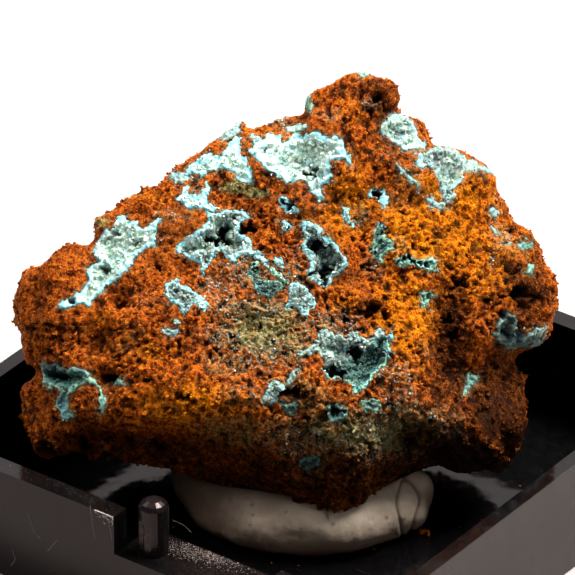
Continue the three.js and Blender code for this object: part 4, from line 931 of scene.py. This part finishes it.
# a sugar of tiny crystals over the bloomed limonite
dusted = attrs["halo"] * (1 - attrs["inside"]) * (HOLE < 0.3) * (FACING > 0.02) * area * step(0.22, 0.5, attrs["halo"])
pick = RNG.choice(len(ROCK), 1700, replace=False, p=dusted / dusted.sum())
L = RNG.uniform(0.045, 0.12, len(pick))
v, f = scatter(ROCK[pick], NR[pick], L, L * RNG.uniform(0.35, 0.6, len(pick)), L * RNG.uniform(0.3, 0.5, len(pick)), 0.8)
make("crystals_sugar", v, f, M_CRYSTAL, {"tint_and_shade": np.repeat(np.stack([RNG.random(len(pick)), np.zeros(len(pick)), 0.45 + 0.55 * RNG.random(len(pick))], 1), len(BLADE), 0)}, smooth=False)

# ------------------------------------------------------------------ putty
def rock_gap(v):
    """Distance of points outside the coarse rock along rays from its middle, and those rays."""
    d = v - MIDDLE
    r = np.linalg.norm(d, axis=1)
    local = (d / r[:, None]) @ LOCAL.T
    return r - rock_radius(local, tuned, evened)[0], d / r[:, None]


PUTTY = [(-6.4, 1.0), (-6.2, -1.6), (-5.0, -4.2), (-2.5, -6.0), (0.4, -6.6), (2.8, -6.1), (4.6, -5.1), (6.0, -4.0)]


def spline(points, t):
    p = np.array(points, float)
    p = np.concatenate([2 * p[:1] - p[1:2], p, 2 * p[-1:] - p[-2:-1]])
    s = t * (len(points) - 1)
    i = np.minimum(s.astype(int), len(points) - 2)
    u = (s - i)[:, None]
    a, b, c, d = p[i], p[i + 1], p[i + 2], p[i + 3]
    return 0.5 * (2 * b + (c - a) * u + (2 * a - 5 * b + 4 * c - d) * u ** 2 + (3 * b - a - 3 * c + d) * u ** 3)


def tube_grid(centres, tangents, radii, sides, up=np.array([0, 0, 1.0])):
    side = np.cross(tangents, up)
    side /= np.linalg.norm(side, axis=1, keepdims=True)
    top = np.cross(side, tangents)
    a = np.arange(sides) / sides * 2 * math.pi
    v = centres[:, None] + radii[:, None, None] * (np.cos(a)[None, :, None] * side[:, None] + np.sin(a)[None, :, None] * top[:, None])
    rings = len(centres)
    i, j = np.meshgrid(np.arange(rings - 1), np.arange(sides), indexing="ij")
    k = (j + 1) % sides
    q = np.stack([i * sides + j, i * sides + k, (i + 1) * sides + k, (i + 1) * sides + j], -1).reshape(-1, 4)
    f = np.concatenate([q[:, [0, 2, 1]], q[:, [0, 3, 2]]])
    v = np.concatenate([v.reshape(-1, 3), centres[:1], centres[-1:]])
    e0, e1 = rings * sides, rings * sides + 1
    j = np.arange(sides)
    k = (j + 1) % sides
    f = np.concatenate([f, np.stack([j, k, np.full(sides, e0)], 1), np.stack([(rings - 1) * sides + k, (rings - 1) * sides + j, np.full(sides, e1)], 1)])
    return v, f


def putty_piece():
    rings, sides, radius = 260, 110, 2.15
    z = 0.8 + radius - 0.25
    t = np.linspace(0, 1, rings)
    c2 = spline(PUTTY, t)
    c = np.array([0, 0, z]) + c2[:, :1] * RIGHT + c2[:, 1:] * NORTH
    tan = np.gradient(c, axis=0)
    tan /= np.linalg.norm(tan, axis=1, keepdims=True)
    length = np.concatenate([[0], np.cumsum(np.linalg.norm(np.diff(c, axis=0), axis=1))])
    total = length[-1]
    # the two rounded ends run past the last centres
    grow = np.linspace(math.pi / 2, 0.02, 26)[::-1]
    start_c = c[0] - tan[0] * (radius * 0.97 * np.cos(grow))[:, None]
    end_c = c[-1] + tan[-1] * (radius * 0.97 * np.cos(grow[::-1]))[:, None]
    cc = np.concatenate([start_c[:-1], c, end_c[1:]])
    tt = np.concatenate([np.repeat(tan[:1], 25, 0), tan, np.repeat(tan[-1:], 25, 0)])
    rr = np.concatenate([radius * np.sin(grow)[:-1], np.full(rings, radius), radius * np.sin(grow[::-1])[1:]])
    along = np.concatenate([np.zeros(25), length, np.full(25, total)])
    v, f = tube_grid(cc, tt, np.maximum(rr, 0.05), sides)
    n = normals_of(v, f)
    if ((v - v.mean(0)) * n).sum() < 0:
        f = f[:, ::-1].copy()
        n = -n
    s = np.concatenate([np.repeat(along, sides), [0, total]])
    x, y = to_drawing(v)
    h = 0.20 * fbm(v / 2.6, 2, 0.5, 201) + 0.05 * fbm(v / 0.8, 3, 0.5, 205)
    # folds where the roll was bent, and flattened finger marks
    bend = abs(x - 400 + 3 * np.sin(y / 11)) / 1.5
    h -= 0.16 * np.exp(-bend ** 2) * (y > 470)
    curl = abs(np.hypot(x - 392, (y - 507) * 0.8) - 27 - 1.5 * np.sin(y / 6)) / 1.5
    h -= 0.16 * np.exp(-curl ** 2) * (x > 402)
    h -= 0.22 * np.exp(-((x - 436) / 9) ** 2 - ((y - 510) / 16) ** 2)
    h += 0.16 * np.exp(-((x - 425) / 10) ** 2 - ((y - 484) / 12) ** 2)
    h -= 0.10 * np.exp(-((x - 300) / 26) ** 2 - ((y - 540) / 10) ** 2)
    # fine wrinkles across the roll, strongest where it curves
    h += (0.035 * noise(np.stack([s / 0.28, v[:, 2] / 1.6, v[:, 0] / 2.5], 1), 221) + 0.02 * noise(np.stack([s / 0.13, v[:, 2] / 1.0, v[:, 0] / 1.5], 1), 222)) * (0.35 + 0.65 * np.clip((300 - x) / 60, 0, 1))
    h -= 0.16 * np.exp(-((x - 327 - 0.3 * (y - 515)) / 1.4) ** 2 - ((y - 515) / 7) ** 2)
    c, s2, o = cells(v / 1.7, 211)
    h -= 0.08 * (o > 0.6) * (1 - step(0.03, 0.10, c))
    v = v + n * h[:, None]
    crack = np.clip(np.exp(-bend ** 2) * (y > 470) * 0.7 + np.exp(-curl ** 2) * (x > 402) * 0.8 + np.exp(-((x - 327 - 0.3 * (y - 515)) / 1.4) ** 2 - ((y - 515) / 7) ** 2), 0, 1)
    for _ in range(2):                       # the stone has pressed its own bed into the putty
        gap, ray = rock_gap(v)
        push = np.clip(0.10 - gap, 0, None)
        v = v + ray * push[:, None]
    v[:, 2] = np.maximum(v[:, 2], 0.86)
    specks = np.zeros(len(v))
    for sx, sy, r in ((252, 505, 1.6), (253, 515, 1.5), (251, 525, 1.3), (333, 524, 2.0), (387, 518, 1.7), (405, 482, 2.2), (405, 520, 1.7), (397, 535, 1.8), (286, 512, 1.2), (301, 530, 1.0), (352, 533, 1.2), (420, 505, 1.2), (230, 500, 1.3)):
        specks = np.maximum(specks, np.exp(-((x - sx) ** 2 + (y - sy) ** 2) / r ** 2))
    # last value: painted light, lighter towards the right and top of the roll, darker to the left where the stone's
    # shadow falls
    return v, f, crack, specks, np.clip((x - 215) / 90, 0, 1) * step(560, 525, y)


def putty_material():
    m = Nodes("putty_grey_beige")
    crack, speck, bed = m.split("marks")
    painted_light = m.attr("painted_light")
    soft = m.noise(0.32, 3, 0.5)
    c = m.ramp(soft, (0.32, srgb(148, 128, 110)), (0.5, srgb(184, 162, 140)), (0.68, srgb(208, 186, 162)))
    c = m.mix(m.math("MULTIPLY", m.range(m.noise(2.4, 4, 0.6), 0.4, 0.66), 0.35), c, srgb(128, 116, 106))
    c = m.mix(m.math("MULTIPLY", m.range(m.noise(9, 2, 0.6), 0.62, 0.72), 0.35), c, srgb(110, 84, 60))
    # painted shadow of the stone on the left of the roll, painted light on its right
    c = m.mix(m.math("MULTIPLY", m.range(painted_light, 0.0, 1.0, 1.0, 0.0), 0.66), c, srgb(124, 92, 72))
    c = m.mix(m.math("MULTIPLY", painted_light, 0.38), c, srgb(244, 220, 192))
    # painted shade in the fold cracks
    c = m.mix(m.math("MULTIPLY", crack, 0.72), c, srgb(96, 76, 62))
    c = m.mix(m.math("MULTIPLY", speck, 0.85), c, srgb(112, 62, 26))
    c = m.mix(m.math("MULTIPLY", bed, 0.6), c, srgb(120, 78, 48))
    m.set(Base_Color=c, Roughness=m.range(m.noise(3, 3, 0.6), 0.3, 0.7, 0.62, 0.42), Specular_IOR_Level=0.45)
    b = m.bump(m.noise(6, 4, 0.6), 0.25, 0.00007)
    m.set(Normal=m.bump(m.noise(1.1, 3, 0.5), 0.3, 0.0003, b))
    m.set(Subsurface_Weight=0.08)
    m.shader.inputs["Subsurface Radius"].default_value = (0.0006, 0.0005, 0.0004)
    return m.material


pv, pf, crack, specks, painted_light = putty_piece()
gap, _ = rock_gap(pv)
bed = np.exp(-np.maximum(gap - 0.1, 0) / 0.25)
make("putty_roll", pv, pf, putty_material(), {"marks": np.stack([crack, specks, bed], 1), "painted_light": painted_light}, replaces=["putty"])


# ------------------------------------------------------------------ tray
POST = (0.35, -16.25, 0.0)


def tray_material():
    m = Nodes("tray_black_gloss")
    swirl = m.noise(1.3, 4, 0.6)
    c = m.ramp(swirl, (0.35, srgb(5, 5, 6)), (0.65, srgb(10, 9, 9)))
    film = m.range(m.noise(16, 2, 0.6), 0.66, 0.74)
    c = m.mix(m.math("MULTIPLY", film, 0.10), c, srgb(120, 112, 106))
    # fine hairline scratches run across the faces
    stretched = m.vector("MULTIPLY", m.mm, (1.0, 14.0, 14.0))
    lines = m.range(m.noise(0.9, 2, 0.5, 0.6, stretched), 0.70, 0.74)
    c = m.mix(m.math("MULTIPLY", lines, 0.10), c, srgb(120, 118, 116))
    r = m.range(m.noise(2.2, 4, 0.65), 0.35, 0.7, 0.035, 0.11)
    r = m.math("ADD", r, m.math("MULTIPLY", lines, 0.10))
    # the latch post is dull and dusty, most of all on the side with the recess
    flat = m.vector("MULTIPLY", m.mm, (1.0, 1.0, 0.0))
    post = m.range(m.vector("DISTANCE", flat, POST), 1.15, 1.0)
    face = m.range(m.vector("DISTANCE", m.mm, (POST[0] - 0.35, POST[1] - 0.95, TRAY_HEIGHT - 1.15)), 1.1, 0.3)
    motes = m.range(m.noise(11, 3, 0.75), 0.50, 0.62)
    c = m.mix(m.math("MULTIPLY", post, m.math("MULTIPLY", m.range(face, 0.0, 1.0, 0.06, 0.7), motes)), c, srgb(104, 86, 78))
    r = m.math("ADD", r, m.math("MULTIPLY", post, 0.16))
    # film of dust where the ledge meets the wall
    ledge = m.range(m.vector("DISTANCE", m.mm, (5.2, -16.1, TRAY_HEIGHT - 2.7)), 4.2, 1.0)
    c = m.mix(m.math("MULTIPLY", ledge, m.math("MULTIPLY", motes, 0.22)), c, srgb(96, 78, 70))
    # painted reflection: the outer face on +X is painted lighter grey for the bright surroundings it mirrors
    painted_reflection = m.math("MULTIPLY", m.range(m.vector("DOT_PRODUCT", m.mm, (1.0, 0.0, 0.0)), 17.90, 17.98), m.range(swirl, 0.3, 0.7, 0.65, 0.95))
    c = m.mix(painted_reflection, c, srgb(48, 42, 40))
    m.set(Base_Color=c, Roughness=r, IOR=1.5, Specular_IOR_Level=0.28)
    m.shader.inputs["Specular Tint"].default_value = (1.0, 0.72, 0.67, 1)
    b = m.bump(m.noise(0.45, 2, 0.5), 0.05, 0.0006)
    m.set(Normal=m.bump(m.noise(12, 2, 0.6), 0.03, 0.00003, b))
    return m.material


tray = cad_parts["tray"]
bevel = tray.modifiers.new("edge", "BEVEL")
bevel.width, bevel.segments, bevel.limit_method, bevel.angle_limit = 0.00011, 2, "ANGLE", math.radians(38)
bevel.harden_normals = False
tray.data.materials.clear()
tray.data.materials.append(tray_material())

# ------------------------------------------------------------------ dust, fibres and crumbs
def dust_material(name, dark, light):
    m = Nodes(name)
    c = m.ramp(m.noise(8, 3, 0.6), (0.35, dark), (0.65, light))
    m.set(Base_Color=c, Roughness=0.85)
    return m.material


M_DUST = dust_material("dust_pale", srgb(84, 62, 54), srgb(168, 152, 142))
M_SCUFF = dust_material("scuff_white", srgb(150, 140, 134), srgb(226, 220, 214))
EYE = RIM + RIGHT * OFF_R + UP * OFF_U + BACK * STATION
LEDGE = TRAY_HEIGHT - 2.7


def onto(x, y, axis, level):
    """Points of the drawing carried onto the plane where one coordinate has a given value."""
    x, y = np.atleast_1d(np.asarray(x, float)), np.atleast_1d(np.asarray(y, float))
    ray = place(x, y, 0.0 * x) - EYE
    return EYE + ray * ((level - EYE[axis]) / ray[:, axis])[:, None]


def fibre(points, axis, level, radius, curl=0.25, sides=6, lift=0.0):
    """A thin tube along drawn points on a plane."""
    pts = np.array(points, float)
    c = onto(pts[:, 0], pts[:, 1], axis, level)
    t = np.linspace(0, 1, 10 * len(pts))
    x = spline(c, t)
    x = x + curl * 0.1 * fbm(x / 0.5, 2, 0.5, 301)[:, None] * np.roll(np.eye(3), axis, 0)[1]
    x[:, axis] = level + lift
    tan = np.gradient(x, axis=0)
    tan /= np.linalg.norm(tan, axis=1, keepdims=True)
    up = np.zeros(3)
    up[axis] = 1.0
    rr = radius * np.clip(np.minimum(t, 1 - t) * 12, 0.25, 1)
    return tube_grid(x, tan, rr, sides, up)


def joined(parts):
    vs, fs, at = [], [], 0
    for v, f in parts:
        vs.append(v)
        fs.append(f + at)
        at += len(v)
    return np.concatenate(vs), np.concatenate(fs)


n = 2300                                 # fine brownish dust on the ledge, behind the post and along its edge
gx = np.concatenate([RNG.normal(205, 24, n - n // 3), RNG.uniform(165, 300, n // 3)])
gy = 551 + (gx - 190) * 0.22 + RNG.normal(0, 5.0, n)
ledge_dust = onto(gx, gy, 2, LEDGE + 0.008)
keep = (ledge_dust[:, 1] < -14.3) & (ledge_dust[:, 1] > -17.55) & (ledge_dust[:, 0] < 10.3) & (np.hypot(ledge_dust[:, 0] - POST[0], ledge_dust[:, 1] - POST[1]) > 0.98)
ledge_dust = ledge_dust[keep]
spots, sizes = [ledge_dust], [RNG.uniform(0.009, 0.022, len(ledge_dust)) * (1 + 1.0 * RNG.random(len(ledge_dust)) ** 8)]
n = 60                                   # along the rims
spots.append(np.stack([RNG.uniform(-17.6, -2.0, n), RNG.uniform(-17.8, -16.9, n), np.full(n, TRAY_HEIGHT + 0.006)], 1))
sizes.append(RNG.uniform(0.010, 0.022, n))
n = 40                                   # on the floor of the tray
spots.append(np.stack([RNG.uniform(-16, 16.5, n), RNG.uniform(-16, 16, n), np.full(n, 0.808)], 1))
sizes.append(RNG.uniform(0.012, 0.026, n))
lone = onto([510, 525, 550, 541, 536], [535, 494, 498, 520, 505], 2, 0.812)
spots.append(lone)
sizes.append(np.full(len(lone), 0.035))
where, size = np.concatenate(spots), np.concatenate(sizes)
v, f = grains(where, size)
v[:, 2] = np.maximum(v[:, 2], 0.80)
make("dust_specks", v, f, M_DUST, smooth=False)

# pale scuff at the notch's corner, scratches beside it and a few hairs
n = 420
u = RNG.random(n)
sx = 95 + 20 * u + RNG.normal(0, 0.8, n)
sy = 504 + 6 * u + np.abs(RNG.normal(0, 3.2 + 5.0 * u, n))
sx = np.minimum(sx, 112.5)
scuff = onto(sx, sy, 1, -18.004)
scuff[:, 2] = np.minimum(scuff[:, 2], TRAY_HEIGHT - 0.02)
v, f = grains(scuff, RNG.uniform(0.014, 0.034, n))
v[:, 1] = np.maximum(v[:, 1], -18.03)
make("scuff_marks", v, f, M_SCUFF, smooth=False)
hairs = [
    fibre([(28, 512), (31, 522), (34, 530), (42, 541)], 1, -18.0, 0.016, lift=-0.012),
    fibre([(57, 540), (53, 545), (47, 552)], 1, -18.0, 0.014, lift=-0.010),
    fibre([(12, 548), (14, 555), (15, 560), (11, 566)], 1, -18.0, 0.014, lift=-0.010),
    fibre([(90, 505), (92, 520), (95, 540)], 1, -18.0, 0.018, 0.0, lift=-0.004),
    fibre([(108, 518), (110, 528), (112, 540)], 1, -18.0, 0.013, 0.0, lift=-0.004),
    fibre([(172, 520), (183, 525), (192, 533)], 2, LEDGE, 0.008, 0.5, lift=0.010),
    fibre([(515, 530), (518, 534), (520, 540)], 2, 0.8, 0.02, 0.4, lift=0.02)]
hv, hf = joined(hairs)
make("dust_hairs", hv, hf, dust_material("hair_pale", srgb(92, 80, 74), srgb(140, 128, 120)), smooth=True)

# crumbs shed by the stone
n = 70
crumb = np.stack([RNG.uniform(-14, 15, n), RNG.uniform(-15.5, 12, n), np.full(n, 0.84)], 1)
size = RNG.uniform(0.03, 0.11, n)
crumb = np.concatenate([crumb, onto([424, 421, 428], [532, 530, 534], 2, 0.95)])
size = np.concatenate([size, [0.24, 0.15, 0.13]])
v, f = grains(crumb, size)
v[:, 2] = np.maximum(v[:, 2], 0.80)
xx = {"pigment_and_shade": np.tile([0.5, 0.2, 0.1, 0.4], (len(v), 1)), "rind": np.tile([1.0, 0, 0], (len(v), 1)), "halo": np.zeros(len(v)), "vivid": np.full(len(v), 0.4), "inside": np.zeros(len(v)), "pore": np.full(len(v), 0.2), "tone": np.full(len(v), 0.5)}
make("limonite_crumbs", v, f, M_ROCK, xx, smooth=False)

# ------------------------------------------------------------------ stage, light and camera
def floor_material():
    m = Nodes("floor_white")
    c = m.ramp(m.noise(0.05, 3, 0.5), (0.3, srgb(166, 162, 158)), (0.7, srgb(170, 167, 164)))
    m.set(Base_Color=c, Roughness=0.6, Specular_IOR_Level=0.2)
    return m.material


fm = bpy.data.meshes.new("floor")
fm.from_pydata([(-1.5, -1.5, 0), (1.5, -1.5, 0), (1.5, 1.5, 0), (-1.5, 1.5, 0)], [], [(0, 1, 2, 3)])
fm.materials.append(floor_material())
floor = bpy.data.objects.new("floor", fm)
bpy.context.scene.collection.objects.link(floor)
floor.location.z = -0.00002

world = bpy.data.worlds.new("studio")
bpy.context.scene.world = world
world.use_nodes = True
world.node_tree.nodes["Background"].inputs["Color"].default_value = (0.96, 0.98, 1.0, 1)
world.node_tree.nodes["Background"].inputs["Strength"].default_value = 0.14


def area(name, position, target, size, power, colour=(1, 1, 1)):
    light = bpy.data.lights.new(name, "AREA")
    light.shape, light.size, light.energy, light.color = "SQUARE", size, power, colour
    ob = bpy.data.objects.new(name, light)
    ob.location = position
    ob.rotation_mode = "QUATERNION"
    ob.rotation_quaternion = (Vector(target) - Vector(position)).to_track_quat("-Z", "Y")
    bpy.context.scene.collection.objects.link(ob)


def at_mm(r, n, z):
    return tuple((RIGHT * r + NORTH * n + np.array([0, 0, z])) * MM)


area("top", at_mm(132, 34, 305), (0, 0, 0.01), 0.15, 3.0)
area("left", at_mm(-190, 20, 240), (0, 0, 0.012), 0.12, 0.54)
area("back", at_mm(0, 760, 470), (0, 0, 0.01), 0.66, 1.35)
area("right", at_mm(300, -120, 110), (0, 0, 0.006), 0.10, 0.16)

cam = bpy.data.cameras.new("camera")
cam.sensor_width = 36
cam.lens = UNITS / 575 * 36
cam.clip_start, cam.clip_end = 0.01, 20
camera = bpy.data.objects.new("camera", cam)
eye = (RIM + RIGHT * OFF_R + UP * OFF_U + BACK * STATION) * MM
camera.matrix_world = Matrix([(*(RIGHT[i], UP[i], BACK[i]), eye[i]) for i in range(3)] + [(0, 0, 0, 1)])
bpy.context.scene.collection.objects.link(camera)
bpy.context.scene.camera = camera
bpy.context.scene.view_settings.view_transform = "Standard"
